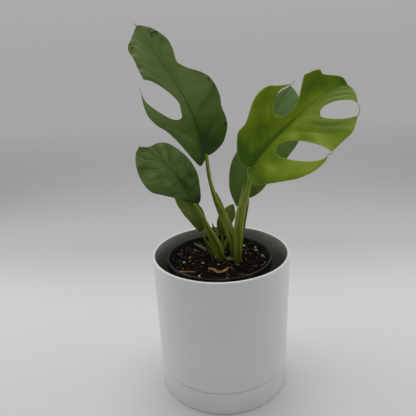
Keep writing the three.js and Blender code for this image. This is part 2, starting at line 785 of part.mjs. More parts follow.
let taken = crownSeat; // stalks clasp each other, so each is trimmed clear of those before it
ROOT_NUBS.forEach(([x, y, z, radius], i) => {
  const ball = (r) => toSolid(new THREE.IcosahedronGeometry(r, 2).translate(x, y, z));
  const nub = largest(ball(radius).subtract(taken));
  addPiece(plant, "root_nub_" + (i + 1), toGeometry(nub), NODE_PALE);
  taken = taken.add(ball(radius + GAP));
  seats.push(ball(radius + GAP));
});
function addStalk(name, stations, steps, finish) {
  const whole = solidTube(stations, steps, 0);
  addPiece(plant, name, toGeometry(largest(whole.subtract(taken))), finish);
  const seat = solidTube(stations, steps, GAP);
  taken = taken.add(seat);
  seats.push(seat);
}
for (const [name, stations] of Object.entries(STALKS)) addStalk(name, stations, STALK_STEPS, STALK);
for (const [name, stations] of Object.entries(SHEATHS)) addStalk(name, stations, SHOOT_STEPS, STALK);
for (const [name, stations] of Object.entries(SHOOTS)) addStalk(name, stations, SHOOT_STEPS, STALK);

for (const [name, blade] of Object.entries(BLADES)) {
  const clearOfStalk = solidTube(STALKS[blade.stalk], STALK_STEPS, GAP);
  const trimmed = largest(toSolid(bladeGeometry(blade)).subtract(clearOfStalk));
  addPiece(plant, name, toGeometry(trimmed), blade.finish);
}

function scatterGrains(label, grains, flatness, finish) {
  grains.forEach((place, i) => {
    addPiece(plant, label + (i + 1), grain(place, flatness), finish);
    seats.push(toSolid(grain(place, flatness, GAP)));
  });
}
scatterGrains("perlite_", PERLITE_GRAINS, PERLITE_FLATNESS, PERLITE);
scatterGrains("bark_chip_", BARK_CHIPS, BARK_FLATNESS, BARK);
for (const [name, stations] of Object.entries(STRIPS)) {
  addPiece(plant, name, toGeometry(solidTube(lying(stations), 10, 0, 6)), STRAW);
  seats.push(solidTube(lying(stations), 10, GAP, 6));
}

function makeSoil() {
  const bottom = LINER_BASE_Z + LINER_WALL + GAP - SOIL_Z;
  const wallAt = (z) => linerRadiusAt(z + SOIL_Z) - LINER_WALL - GAP;
  const edgeR = wallAt(-1);
  const rings = 9;
  const profile = [[0, bottom], [wallAt(bottom), bottom], [edgeR, -SOIL_MOUND]];
  for (let i = rings - 1; i >= 0; i--) profile.push([(edgeR * i) / rings, 0]);
  const geometry = turned(profile).translate(LINER_OFFSET_X, 0, 0);
  const place = geometry.attributes.position;
  for (let i = 0; i < place.count; i++) {
    if (Math.abs(place.getZ(i)) < 1e-6) place.setZ(i, soilHeight(place.getX(i), place.getY(i)));
  }
  let soil = toSolid(geometry);
  for (const seat of seats) soil = soil.subtract(seat);
  addPiece(plant, "potting_soil", toGeometry(largest(soil)), SOIL);
}
makeSoil();

export default plantPot;
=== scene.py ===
# %% [markdown]
# # A young split-leaf plant in a white ceramic pot
#
# The object is a climbing plant with six leaves. It grows in a black plastic nursery pot, which
# stands loose inside a white ceramic cover pot on a flush saucer. The CAD model gives every
# piece its size and place. Here each piece gets the surface and the finish that it really has.
# All shapes are worked out in millimetres, as whole arrays, and become metres in the mesh.

import bpy
import numpy as np
from mathutils import Matrix, Vector


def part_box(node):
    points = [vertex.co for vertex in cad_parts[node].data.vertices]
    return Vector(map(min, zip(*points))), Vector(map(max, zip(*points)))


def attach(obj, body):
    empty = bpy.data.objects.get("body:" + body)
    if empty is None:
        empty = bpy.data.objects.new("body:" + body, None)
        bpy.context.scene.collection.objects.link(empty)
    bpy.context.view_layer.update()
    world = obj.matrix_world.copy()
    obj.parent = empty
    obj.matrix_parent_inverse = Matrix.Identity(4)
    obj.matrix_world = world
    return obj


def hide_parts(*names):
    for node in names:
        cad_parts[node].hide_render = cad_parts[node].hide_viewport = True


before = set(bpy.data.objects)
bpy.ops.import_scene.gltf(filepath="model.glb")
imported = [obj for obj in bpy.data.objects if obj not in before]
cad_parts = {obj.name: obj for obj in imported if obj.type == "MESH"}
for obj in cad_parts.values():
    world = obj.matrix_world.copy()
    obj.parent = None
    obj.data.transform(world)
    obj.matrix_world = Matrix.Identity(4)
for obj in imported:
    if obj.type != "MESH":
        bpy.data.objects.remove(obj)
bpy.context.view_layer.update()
MM = 0.001


def box_mm(node):
    """Lowest and highest corner of a CAD node, in millimetres."""
    low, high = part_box(node)
    return np.array(low) / MM, np.array(high) / MM


# %% [markdown]
# ## From arrays to meshes
#
# A surface here is a grid of points, and its faces are the quads between neighbours. Where a
# grid closes to a point, or two grids share an edge, equal points are merged, and a quad that
# loses a corner becomes a triangle. Merging by rounded coordinates does this for any shape, so
# poles and seams need no care of their own. A closed shell that came out with its faces inwards
# has a negative volume, which tells us to turn them round.


# %% Grids, welding and facing
WELD_STEP = 0.001  # millimetres, below which two points are one


def grid_quads(rows, columns, wrap_rows=False, wrap_columns=False):
    """Quads between neighbouring points of a grid whose points are numbered row by row."""
    i = np.arange(rows if wrap_rows else rows - 1)[:, None]
    j = np.arange(columns if wrap_columns else columns - 1)[None, :]
    i2, j2 = (i + 1) % rows, (j + 1) % columns
    corners = [i * columns + j, i * columns + j2, i2 * columns + j2, i2 * columns + j]
    return np.stack(np.broadcast_arrays(*corners), axis=-1).reshape(-1, 4)


def weld(points, quads):
    """Merges points closer than a step. Returns the kept points' numbers, quads and triangles."""
    key = np.round(points / WELD_STEP).astype(np.int64)
    _, first, place = np.unique(key, axis=0, return_index=True, return_inverse=True)
    quads = place.reshape(-1)[quads]
    same = quads == np.roll(quads, -1, axis=1)
    whole = quads[~same.any(axis=1)]
    one = same.sum(axis=1) == 1
    turn = (np.argmax(same[one], axis=1)[:, None] + np.arange(1, 4)) % 4
    triangles = np.take_along_axis(quads[one], turn, axis=1)
    distinct = (triangles != np.roll(triangles, 1, axis=1)).all(axis=1)
    return first, whole, triangles[distinct]


def volume(points, triangles):
    """Signed volume inside a closed shell: a sixth of the sum of a . (b x c) over its faces."""
    a, b, c = (points[triangles[:, k]] for k in range(3))
    return (a * np.cross(b, c)).sum() / 6


def facing_out(points, quads, triangles):
    """The same faces, all turned round if the shell they close has a negative volume."""
    halves = np.concatenate([quads[:, [0, 1, 2]], quads[:, [0, 2, 3]], triangles])
    if volume(points, halves) < 0:
        return quads[:, ::-1], triangles[:, ::-1]
    return quads, triangles


# %% Put a shell into Blender
def add_mesh(name, points, quads, triangles, values=None, smooth=True):
    """Makes a mesh object at the origin. values holds one number per point for each name."""
    mesh = bpy.data.meshes.new(name)
    corners = np.concatenate([quads.reshape(-1), triangles.reshape(-1)]).astype(np.int32)
    sizes = np.concatenate([np.full(len(quads), 4), np.full(len(triangles), 3)]).astype(np.int32)
    mesh.vertices.add(len(points))
    mesh.vertices.foreach_set("co", (points * MM).astype(np.float32).reshape(-1))
    mesh.loops.add(len(corners))
    mesh.loops.foreach_set("vertex_index", corners)
    mesh.polygons.add(len(sizes))
    mesh.polygons.foreach_set("loop_start", np.cumsum(sizes, dtype=np.int32) - sizes)
    mesh.polygons.foreach_set("use_smooth", np.full(len(sizes), smooth))
    mesh.update(calc_edges=True)
    for label, numbers in (values or {}).items():
        layer = mesh.attributes.new(label, "FLOAT", "POINT")
        layer.data.foreach_set("value", np.asarray(numbers, np.float32))
    mesh.validate()
    obj = bpy.data.objects.new(name, mesh)
    bpy.context.scene.collection.objects.link(obj)
    return obj


def closed_shell(name, points, quads, values=None):
    """A welded shell that faces outwards."""
    first, whole, triangles = weld(points, quads)
    points = points[first]
    whole, triangles = facing_out(points, whole, triangles)
    values = {label: np.asarray(numbers)[first] for label, numbers in (values or {}).items()}
    return add_mesh(name, points, whole, triangles, values)


def belongs(obj, slot, material, *nodes):
    """The piece rides with the one body, takes the finish and stands for CAD nodes. slot is not
    used.
    """
    obj.data.materials.append(material)
    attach(obj, "root")
    if nodes:
        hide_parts(*nodes)
    print(obj.name, len(obj.data.vertices), "points,", len(obj.data.polygons), "faces")
    return obj


# %% [markdown]
# ## Curves and noise
#
# Every outline and path is a smooth curve through a few points. The Catmull-Rom curve passes
# through all of them, so a point can be read straight off the shape. Natural surfaces also need
# unevenness. A lattice of random numbers, blended smoothly between its nodes and added up at
# several sizes, gives that, and its seed keeps it the same each time.


# %% Smooth curves
CURVE_STEPS = 400  # short chords that measure a curve


def spline(points, t):
    """Catmull-Rom curve through the points, at shares t of the way from first to last."""
    p = np.asarray(points, float)
    n = len(p) - 1
    x = np.clip(np.asarray(t, float), 0, 1) * n
    i = np.minimum(x.astype(int), n - 1)
    w = (x - i)[..., None]
    a, b, c, d = p[np.maximum(i - 1, 0)], p[i], p[i + 1], p[np.minimum(i + 2, n)]
    bend = 2 * a - 5 * b + 4 * c - d
    return 0.5 * (2 * b + (c - a) * w + bend * w**2 + (3 * b - a - 3 * c + d) * w**3)


def even_spline(points, t):
    """The same curve at shares t of its length, and the length."""
    q = spline(points, np.linspace(0, 1, CURVE_STEPS))
    run = np.concatenate([[0], np.cumsum(np.linalg.norm(np.diff(q, axis=0), axis=1))])
    at = np.asarray(t) * run[-1]
    return np.stack([np.interp(at, run, q[:, k]) for k in range(q.shape[1])], -1), run[-1]


# %% Smooth noise
LATTICE = 64  # nodes each way, after which the noise repeats


def noise(x, y, size, seed, octaves=3):
    """Sum of random lattices, each half the size and half the height of the one before."""
    total = np.zeros(np.broadcast(x, y).shape)
    for octave in range(octaves):
        table = np.random.default_rng(seed + octave).uniform(-1, 1, (LATTICE, LATTICE))
        u, v = x / size * 2**octave, y / size * 2**octave
        i, j = np.floor(u).astype(int), np.floor(v).astype(int)
        f, g = u - i, v - j
        f, g = f * f * (3 - 2 * f), g * g * (3 - 2 * g)
        i0, i1, j0, j1 = i % LATTICE, (i + 1) % LATTICE, j % LATTICE, (j + 1) % LATTICE
        low = table[i0, j0] * (1 - f) + table[i1, j0] * f
        high = table[i0, j1] * (1 - f) + table[i1, j1] * f
        total += (low * (1 - g) + high * g) / 2**octave
    return total


def smoothstep(low, high, x):
    """0 below low, 1 above high and an S-curve between."""
    t = np.clip((x - low) / (high - low), 0, 1)
    return t * t * (3 - 2 * t)


# %% [markdown]
# ## Writing shaders as arithmetic
#
# A procedural finish is mostly arithmetic on masks. The class Value wraps one output of a node,
# so that 1 - mask or mask * 0.3 adds the Math node it needs. The class Finish is one material
# with a single way to add any other node: its kind, its settings, then its sockets.


# %% Values and finishes
class Value:
    """A number that varies over a surface. Arithmetic on it adds Math nodes."""

    def __init__(self, finish, socket):
        """Wraps one output socket of a node of the finish."""
        self.finish = finish
        self.socket = socket

    def math(self, operation, *others):
        """One Math node on this value and the others."""
        inputs = dict(enumerate((self, *others)))
        return self.finish.node("ShaderNodeMath", {"operation": operation}, inputs)

    def __add__(self, other):
        """The sum, as one Math node."""
        return self.math("ADD", other)

    def __sub__(self, other):
        """The difference, as one Math node."""
        return self.math("SUBTRACT", other)

    def __mul__(self, other):
        """The product, as one Math node."""
        return self.math("MULTIPLY", other)

    def __rsub__(self, other):
        """1 - mask and the like."""
        return self * -1 + other

    __radd__ = __add__
    __rmul__ = __mul__

    def between(self, low, high, to_low=0.0, to_high=1.0):
        """An S-curve from to_low, where the value is low, to to_high, where it is high."""
        inputs = {0: self, 1: low, 2: high, 3: to_low, 4: to_high}
        settings = {"interpolation_type": "SMOOTHSTEP"}
        return self.finish.node("ShaderNodeMapRange", settings, inputs)


def set_stops(colours, stops):
    """Gives a colour ramp as many stops as are listed, each a position and a colour."""
    while len(colours.elements) < len(stops):
        colours.elements.new(1)
    for element, (position, colour) in zip(colours.elements, stops):
        element.position = position
        element.color = (*colour, 1)


class Finish:
    """One material, and the one way to add a node to it."""

    def __init__(self, name, **plain):
        """A new material. The keywords set sockets of its shader to plain values."""
        self.material = bpy.data.materials.new(name)
        self.material.use_nodes = True
        self.tree = self.material.node_tree
        self.shader = self.tree.nodes["Principled BSDF"]
        for label, value in plain.items():
            self.set(self.shader.inputs[label.replace("_", " ")], value)

    def set(self, socket, value):
        """Links a value, or sets a plain number or colour."""
        if isinstance(value, Value):
            self.tree.links.new(value.socket, socket)
        elif isinstance(value, tuple) and len(value) == 3 and socket.type == "RGBA":
            socket.default_value = (*value, 1)
        else:
            socket.default_value = value

    def node(self, kind, settings=None, inputs=None, output=0):
        """Adds a node: first its settings, then its sockets, linked or set."""
        made = self.tree.nodes.new(kind)
        for label, value in (settings or {}).items():
            if label == "stops":
                set_stops(made.color_ramp, value)
            else:
                setattr(made, label, value)
        for label, value in (inputs or {}).items():
            self.set(made.inputs[label], value)
        return Value(self, made.outputs[output])

    def feed(self, **links):
        """Links values to the shader's own sockets."""
        for label, value in links.items():
            self.set(self.shader.inputs[label.replace("_", " ")], value)
        return self


# %% Words used in most finishes
def place(finish):
    """Object coordinates: metres in the object's own frame."""
    return finish.node("ShaderNodeTexCoord", output="Object")


def attribute(finish, label):
    """A number that the mesh carries at its points."""
    return finish.node("ShaderNodeAttribute", {"attribute_name": label}, output="Fac")


def axis(finish, where, label):
    """The X, Y or Z of a place."""
    return finish.node("ShaderNodeSeparateXYZ", None, {0: where}, label)


def ramp(finish, share, stops):
    """A colour that runs through stops of share and colour."""
    return finish.node("ShaderNodeValToRGB", {"stops": stops}, {0: share})


def grain(finish, where, scale, detail=3, roughness=0.5):
    """Noise from 0 to 1, with a number of features per metre of the place."""
    inputs = {"Vector": where, "Scale": scale, "Detail": detail, "Roughness": roughness}
    return finish.node("ShaderNodeTexNoise", None, inputs, "Fac")


def blend(finish, share, low, high):
    """A colour that goes from low to high as the share goes from 0 to 1."""
    settings = {"data_type": "RGBA", "clamp_factor": True}
    return finish.node("ShaderNodeMix", settings, {"Factor": share, 6: low, 7: high}, 2)


def bump(finish, height, depth_mm, strength=1.0):
    """A relief of a height from 0 to 1, as deep as a number of millimetres."""
    inputs = {"Height": height, "Distance": depth_mm * MM, "Strength": strength}
    return finish.node("ShaderNodeBump", None, inputs)


def srgb(*levels):
    """A linear colour from three display levels of 0 to 255."""
    return tuple(
        level / 255 / 12.92 if level < 10.3 else ((level / 255 + 0.055) / 1.055) ** 2.4
        for level in levels
    )


print("finish of grey 128:", round(srgb(128, 128, 128)[0], 3))

# %% [markdown]
# ## Camera, floor and light
#
# The camera looks down a little at the leaves, over the rim of the pot. The floor is pale.
# Painted shade makes it greyer just behind the pot, and painted light makes it paler again further
# back. One large soft light hangs above and slightly behind. Two more stand at the sides, so that
# the white glaze is brighter at its edges than in the middle. An even grey surround fills the
# shadows.

# %% Camera
CAMERA_PLACE = (0.0, -383.6, 311.5)
CAMERA_AXES = (
    (0.99911554, 0.03326954, 0.02571527),
    (0.01349765, 0.32543938, -0.94546657),
    (-0.039824, 0.94497743, 0.32470248),
)
LENS = 38.0769


def add_camera():
    """The columns of its axes are its right, its up and its back."""
    camera = bpy.data.objects.new("studio_camera", bpy.data.cameras.new("studio_camera"))
    matrix = np.eye(4)
    matrix[:3, :3] = CAMERA_AXES
    matrix[:3, 3] = np.array(CAMERA_PLACE) * MM
    camera.matrix_world = Matrix(matrix.tolist())
    camera.data.lens = LENS
    camera.data.sensor_width = 36
    camera.data.clip_start = 0.01
    bpy.context.scene.collection.objects.link(camera)
    bpy.context.scene.camera = camera
    return camera


print("camera at", tuple(add_camera().matrix_world.translation))

# %% Floor
FLOOR_SIZE = 60000.0


def add_floor():
    """A flat square at height 0. Its colour, a function of its depth, is painted shade and light.
    """
    half = FLOOR_SIZE / 2
    corners = np.array([(-half, -half, 0), (half, -half, 0), (half, half, 0), (-half, half, 0)])
    floor = add_mesh("floor", corners, np.array([[0, 1, 2, 3]]), np.zeros((0, 3), int))
    finish = Finish("paper_floor", Roughness=0.75, Specular_IOR_Level=0.25)
    where = place(finish)
    apart = axis(finish, where, "Y")
    # Painted shade: the floor is painted greyer from 0.12 to 0.34 m back, where the lamps' light
    # falls off.
    painted_falloff = blend(finish, apart.between(0.12, 0.34), (0.81, 0.81, 0.805), (0.64, 0.64, 0.637))
    # Painted light: from 0.5 to 2 m back the floor is painted paler again, in place of light the
    # lamps don't give.
    finish.feed(Base_Color=blend(finish, apart.between(0.5, 2.0), painted_falloff, (0.93, 0.93, 0.925)))
    floor.data.materials.append(finish.material)


add_floor()

# %% Lights
LIGHTS = {  # place and size in millimetres, power in watts
    "overhead": ((0, 160, 950), 620, 2.6),
    "left_side": ((-640, 240, 330), 420, 0.6),
    "right_side": ((640, 200, 330), 420, 0.5),
}
LIGHT_TARGET = (0, 0, 120)


def add_light(name, where, size, power):
    """A soft disc of light that faces the middle of the object."""
    lamp = bpy.data.lights.new(name, "AREA")
    lamp.shape, lamp.size, lamp.energy = "DISK", size * MM, power
    obj = bpy.data.objects.new(name, lamp)
    aim = Vector(LIGHT_TARGET) - Vector(where)
    obj.rotation_euler = aim.to_track_quat("-Z", "Y").to_euler()
    obj.location = [x * MM for x in where]
    bpy.context.scene.collection.objects.link(obj)


for name, settings in LIGHTS.items():
    add_light(name, *settings)


class Surround(Finish):
    """The world, which takes nodes in the same way as a finish."""

    def __init__(self, name):
        """A new world. Its shader is the background."""
        self.world = bpy.data.worlds.new(name)
        self.world.use_nodes = True
        self.tree = self.world.node_tree
        self.shader = self.tree.nodes["Background"]


def add_surround():
    """Grey at the horizon, lighter overhead and darker on the camera's side."""
    surround = Surround("grey_surround")
    way = surround.node("ShaderNodeTexCoord", output="Generated")
    front = axis(surround, way, "Y").between(-0.7, 0.3, 1, 0)
    rise = axis(surround, way, "Z")
    height = rise.between(0.0, 0.9)
    haze = blend(surround, rise.between(-0.02, 0.12), (0.378, 0.378, 0.377), (0.405, 0.403, 0.4))
    sky = blend(surround, height, haze, (0.44, 0.44, 0.44))
    low = blend(surround, height, (0.20, 0.20, 0.20), (0.42, 0.42, 0.42))
    surround.feed(Color=blend(surround, front, sky, low))
    bpy.context.scene.world = surround.world


add_surround()
bpy.context.scene.view_settings.view_transform = "Standard"
print(len(LIGHTS), "lights")

# %% [markdown]
# ## The ceramic pot and its saucer
#
# The cover pot is slip-cast stoneware under a white satin glaze, and the saucer is flush with
# it, with only a thin dark seam between the two. Both are bodies of revolution, so one profile
# of radius and height, turned about the axis, gives the whole shape. Small quarter rounds stand
# where the glaze has softened the clay's edges. The profile is dense near these rounds.

# %% Turned shapes
TURN_STEPS = 192


def arc(centre_r, centre_z, radius, start, end, steps=8):
    """Profile points on a circle, from one angle to another in degrees."""
    a = np.radians(np.linspace(start, end, steps + 1))
    return np.stack([centre_r + radius * np.cos(a), centre_z + radius * np.sin(a)], axis=1)


def turned(profile, wobble=0.0, seed=0, steps=TURN_STEPS):
    """Points (r cos a, r sin a, z) for each profile point and angle a. wobble uneven in mm."""
    profile = np.asarray(profile, float)
    a = np.linspace(0, 2 * np.pi, steps, endpoint=False)
    r, z = profile[:, :1], profile[:, 1:]
    uneven = noise(8 + 3 * np.cos(a) + z / 60, 8 + 3 * np.sin(a) + r / 60, 1.0, seed)
    r = r + wobble * uneven * smoothstep(2, 10, r)
    points = np.stack([r * np.cos(a), r * np.sin(a), z + 0 * a], axis=-1).reshape(-1, 3)
    return points, grid_quads(len(profile), steps, wrap_columns=True)


def outline(*parts):
    """One profile from single points and arcs."""
    return np.concatenate([np.atleast_2d(part) for part in parts])


# %% Sizes of the pots
POT_HEIGHT, POT_TOP_RADIUS, POT_BASE_RADIUS, POT_WALL = 137.0, 65.0, 63.0, 2.6
POT_FLOOR_TOP, POT_FLOOR_UNDER, DRAIN_RADIUS = 30.0, 25.0, 7.0
SAUCER_HEIGHT, SAUCER_INNER, SAUCER_FLOOR = 23.4, 59.4, 5.0
FOOT_OUTER, FOOT_INNER, FOOT_BOTTOM = 58.6, 55.2, 5.3
SEAM_Z = 23.8
EDGE = 1.1


def pot_radius(z):
    """Outer radius at a height: the pot and its saucer share one straight taper."""
    return POT_BASE_RADIUS + (POT_TOP_RADIUS - POT_BASE_RADIUS) * z / POT_HEIGHT


# %% Saucer and pot profiles
rim_r = pot_radius(SAUCER_HEIGHT)
SAUCER_PROFILE = outline(
    (0, 0.0),
    (POT_BASE_RADIUS - 9, 0.0),
    arc(POT_BASE_RADIUS - EDGE, EDGE, EDGE, -90, 0),
    [(pot_radius(z), z) for z in (6, 12, 18)],
    arc(rim_r - EDGE / 2, SAUCER_HEIGHT - EDGE / 2, EDGE / 2, 0, 90, 6),
    (SAUCER_INNER + 0.6, SAUCER_HEIGHT),
    arc(SAUCER_INNER + 0.6, SAUCER_HEIGHT - 0.6, 0.6, 90, 180, 4),
    arc(SAUCER_INNER - 1.5, SAUCER_FLOOR + 1.5, 1.5, 0, -90, 5),
    (0, SAUCER_FLOOR),
)
lip_r, lip_z = POT_TOP_RADIUS - POT_WALL / 2, POT_HEIGHT - POT_WALL / 2
floor_r = pot_radius(POT_FLOOR_TOP) - POT_WALL * 1.3
POT_PROFILE = outline(
    (DRAIN_RADIUS, POT_FLOOR_UNDER + 0.4),
    (DRAIN_RADIUS + 0.4, POT_FLOOR_UNDER),
    arc(FOOT_INNER - 1.5, POT_FLOOR_UNDER - 1.5, 1.5, 90, 0, 5),
    arc(FOOT_INNER + 0.6, FOOT_BOTTOM + 0.6, 0.6, 180, 270, 4),
    arc(FOOT_OUTER - 0.6, FOOT_BOTTOM + 0.6, 0.6, 270, 360, 4),
    (FOOT_OUTER, SEAM_Z),
    arc(pot_radius(SEAM_Z) - EDGE / 2, SEAM_Z + EDGE / 2, EDGE / 2, -90, 0, 6),
    [(pot_radius(z), z) for z in np.arange(32, 132, 12)],
    arc(lip_r, lip_z, POT_WALL / 2, 0, 180, 14),
    [(lip_r - POT_WALL / 2 - share * (lip_r - POT_WALL / 2 - floor_r), z)
     for share, z in ((0.1, 125), (0.4, 94), (0.7, 62))],
    arc(floor_r - EDGE, POT_FLOOR_TOP + EDGE, EDGE, 0, -90, 5),
    (DRAIN_RADIUS + 0.4, POT_FLOOR_TOP),
    (DRAIN_RADIUS, POT_FLOOR_TOP - 0.4),
    (DRAIN_RADIUS, POT_FLOOR_UNDER + 0.4),
)

# %% [markdown]
# A satin glaze is nearly smooth. Light still finds three things on it: a faint orange peel, a
# roughness that differs from place to place, and a few tiny specks of iron in the clay. The
# unglazed foot, where glaze is wiped away, is warmer and rougher. The lip is painted lighter, a
# painted highlight, and the inner wall is painted dark grey, a painted shade.


# %% Glaze
FOOT_END = (0.0002, 0.0012)  # metres up, from bare clay to full glaze
LIP_HIGHLIGHT_RANGE = (0.1355, 0.1368)  # metres up, from the wall to the lip's painted highlight
INNER_RADIUS = (0.0622, 0.0628)  # metres from the axis, between the inner and the outer wall
SHADED_WALL_START = (0.026, 0.029)  # metres up, from the floor of the pot to the painted shade on its inner wall


def glaze():
    """White glaze with specks, bare clay at height 0, a painted highlight on the lip and painted
    shade on the inner wall.
    """
    finish = Finish("white_satin_glaze", Specular_IOR_Level=0.45, Coat_Roughness=0.16)
    where = place(finish)
    height = axis(finish, where, "Z")
    cloud = grain(finish, where, 28, 4)
    specks = grain(finish, where, 640, 1, 0.4).between(0.745, 0.79)
    specks = specks * grain(finish, where, 90, 2).between(0.45, 0.6)
    bare = height.between(*FOOT_END, 1, 0)
    white = blend(finish, cloud, (0.79, 0.785, 0.77), (0.835, 0.832, 0.82))
    speckled = blend(finish, specks * 0.42, white, (0.32, 0.28, 0.23))
    clay = blend(finish, grain(finish, where, 300), (0.62, 0.55, 0.46), (0.72, 0.66, 0.57))
    flat = finish.node("ShaderNodeVectorMath", {"operation": "MULTIPLY"}, {0: where, 1: (1, 1, 0)})
    radius = finish.node("ShaderNodeVectorMath", {"operation": "LENGTH"}, {0: flat}, "Value")
    inside = radius.between(*INNER_RADIUS, 1, 0) * height.between(*SHADED_WALL_START)
    # Painted highlight: the lip is painted a lighter white.
    lip_highlight = height.between(*LIP_HIGHLIGHT_RANGE) * (1 - inside)
    bright = blend(finish, lip_highlight, speckled, (0.95, 0.945, 0.93))
    # Painted shade: the inner wall above the pot's floor is painted dark grey. soiled carries it
    # here.
    soiled = blend(finish, inside * (cloud * 0.25 + 0.75), bright, (0.225, 0.225, 0.195))
    peel = grain(finish, where, 210, 2) * 0.7 + grain(finish, where, 900, 2) * 0.3
    return finish.feed(
        Base_Color=blend(finish, bare, soiled, clay),
        Roughness=cloud * 0.14 + 0.27 + bare * 0.35,
        Coat_Weight=0.35 - bare * 0.35 + lip_highlight * 0.4,
        Normal=bump(finish, peel, 0.05, 0.5),
    ).material


GLAZE = glaze()
for name, profile, node in (
    ("saucer_glazed", SAUCER_PROFILE, "saucer"),
    ("pot_glazed", POT_PROFILE, "ceramic_pot"),
):
    points, quads = turned(profile, wobble=0.05, seed=3)
    belongs(closed_shell(name, points, quads), "ceramic", GLAZE, node)

# %% [markdown]
# ## The nursery pot
#
# The plant still stands in the thin black pot that it was grown in. Such pots are injection
# moulded from recycled plastic: they have a turned-over rim, a thin wall and holes in the base.
# The wall is one turned profile. The base plate is six equal wedges, and each wedge is a grid
# that runs from the hole's circle out to the wedge's own border.

# %% Sizes of the nursery pot
LINER_X = -1.5
LINER_BASE_Z, LINER_RIM_Z = 30.3, 132.2
LINER_BASE_RADIUS, LINER_TOP_RADIUS, LINER_RIM_RADIUS = 38.0, 49.1, 50.0
LINER_WALL, LINER_RIM_DEPTH = 1.1, 7.0
HOLE_COUNT, HOLE_CIRCLE, HOLE_RADIUS = 6, 24.0, 4.0


def liner_radius(z):
    """Outer radius of the nursery pot's tapered wall at a height."""
    share = (np.asarray(z, float) - LINER_BASE_Z) / (LINER_RIM_Z - LINER_BASE_Z)
    return LINER_BASE_RADIUS + (LINER_TOP_RADIUS - LINER_BASE_RADIUS) * share


# %% Nursery pot profile
rim_under = LINER_RIM_Z - LINER_RIM_DEPTH
round_r = LINER_WALL / 2
inner_top = LINER_TOP_RADIUS - LINER_WALL
wall_heights = np.arange(40, rim_under - 4, 10)
LINER_PROFILE = outline(
    (LINER_BASE_RADIUS - 4, LINER_BASE_Z),
    arc(LINER_BASE_RADIUS - 0.8, LINER_BASE_Z + 0.8, 0.8, -90, 0, 4),
    [(liner_radius(z), z) for z in wall_heights],
    (liner_radius(rim_under), rim_under),
    arc(LINER_RIM_RADIUS - 0.3, rim_under + 0.3, 0.3, -90, 0, 3),
    arc(LINER_RIM_RADIUS - round_r, LINER_RIM_Z - round_r, round_r, 0, 90, 6),
    arc(inner_top + 0.3, LINER_RIM_Z - 0.3, 0.3, 90, 180, 4),
    [(liner_radius(z) - LINER_WALL, z) for z in wall_heights[::-1]],
    arc(LINER_BASE_RADIUS - 2.2, LINER_BASE_Z + LINER_WALL + 1, 1, 0, -90, 4),
    (LINER_BASE_RADIUS - 4, LINER_BASE_Z + LINER_WALL),
    (LINER_BASE_RADIUS - 4, LINER_BASE_Z),
)
PLATE_RADIUS = LINER_BASE_RADIUS - 3.5
WEDGE_STEPS = 64


# %% Base plate with its holes
def wedge_border(steps):
    """A closed path of equal steps: in along one spoke, out along the next, back on the rim."""
    half = np.pi / HOLE_COUNT
    spoke = np.linspace(0, PLATE_RADIUS, steps // 4 + 1)
    rim = np.linspace(half, -half, steps // 2 + 1)[1:-1]
    out = np.stack([spoke * np.cos(half), spoke * np.sin(half)], 1)
    back = np.stack([spoke * np.cos(half), -spoke * np.sin(half)], 1)[:0:-1]
    return np.concatenate([out, PLATE_RADIUS * np.stack([np.cos(rim), np.sin(rim)], 1), back])


def base_plate():
    """Each border point is joined to the hole's circle by a straight line at its own angle."""
    border = wedge_border(WEDGE_STEPS)
    from_hole = border - [HOLE_CIRCLE, 0]
    a = np.arctan2(from_hole[:, 1], from_hole[:, 0])
    hole = np.stack([HOLE_CIRCLE + HOLE_RADIUS * np.cos(a), HOLE_RADIUS * np.sin(a)], 1)
    share = np.linspace(0, 1, 7)[:, None, None] ** 1.3
    flat = hole * (1 - share) + border * share
    low, high = LINER_BASE_Z + 0.05, LINER_BASE_Z + LINER_WALL - 0.05
    under = np.concatenate([flat, np.full(flat.shape[:2] + (1,), low)], -1)
    over = np.concatenate([flat, np.full(flat.shape[:2] + (1,), high)], -1)[::-1]
    ring = np.concatenate([under, over])
    quads = grid_quads(len(ring), len(border), True, True)
    turns = np.arange(HOLE_COUNT) * 2 * np.pi / HOLE_COUNT
    x, y, z = (ring.reshape(-1, 3)[:, k] for k in range(3))
    wedges = [np.stack([x * np.cos(t) - y * np.sin(t), x * np.sin(t) + y * np.cos(t), z], 1)
              for t in turns]
    numbers = [quads + k * len(x) for k in range(HOLE_COUNT)]
    return np.concatenate(wedges), np.concatenate(numbers)


# %% [markdown]
# Recycled plastic is not a clean black. It is a dark blue-grey with fine flow marks, scuffed
# paler along the rim, and dusted by dried soil and hard water just above the soil.


# %% Nursery plastic
DUST_RANGE = (0.118, 0.131)  # metres up, from clean plastic to dusty


def nursery_plastic():
    """Near black plastic with pale scuffs, and dust close above the soil."""
    finish = Finish("nursery_plastic", Specular_IOR_Level=0.25)
    where = place(finish)
    height = axis(finish, where, "Z")
    scuffs = grain(finish, where, 260, 4, 0.65).between(0.52, 0.7)
    dust = grain(finish, where, 70, 4).between(0.45, 0.7) * height.between(*DUST_RANGE)
    base = blend(finish, scuffs, (0.005, 0.006, 0.006), (0.016, 0.018, 0.019))
    return finish.feed(
        Base_Color=blend(finish, dust * 0.3, base, (0.16, 0.15, 0.12)),
        Roughness=scuffs * 0.2 + 0.5 + dust * 0.2,
        Normal=bump(finish, grain(finish, where, 700, 3), 0.04, 0.5),
    ).material


def nursery_pot():
    """The wall and the base plate, joined in one shell."""
    wall, wall_quads = turned(LINER_PROFILE, wobble=0.12, seed=11, steps=144)
    plate, plate_quads = base_plate()
    points = np.concatenate([wall, plate]) + [LINER_X, 0, 0]
    return closed_shell("nursery_pot_black", points,
                        np.concatenate([wall_quads, plate_quads + len(wall)]))


belongs(nursery_pot(), "nursery_plastic", nursery_plastic(), "nursery_pot")

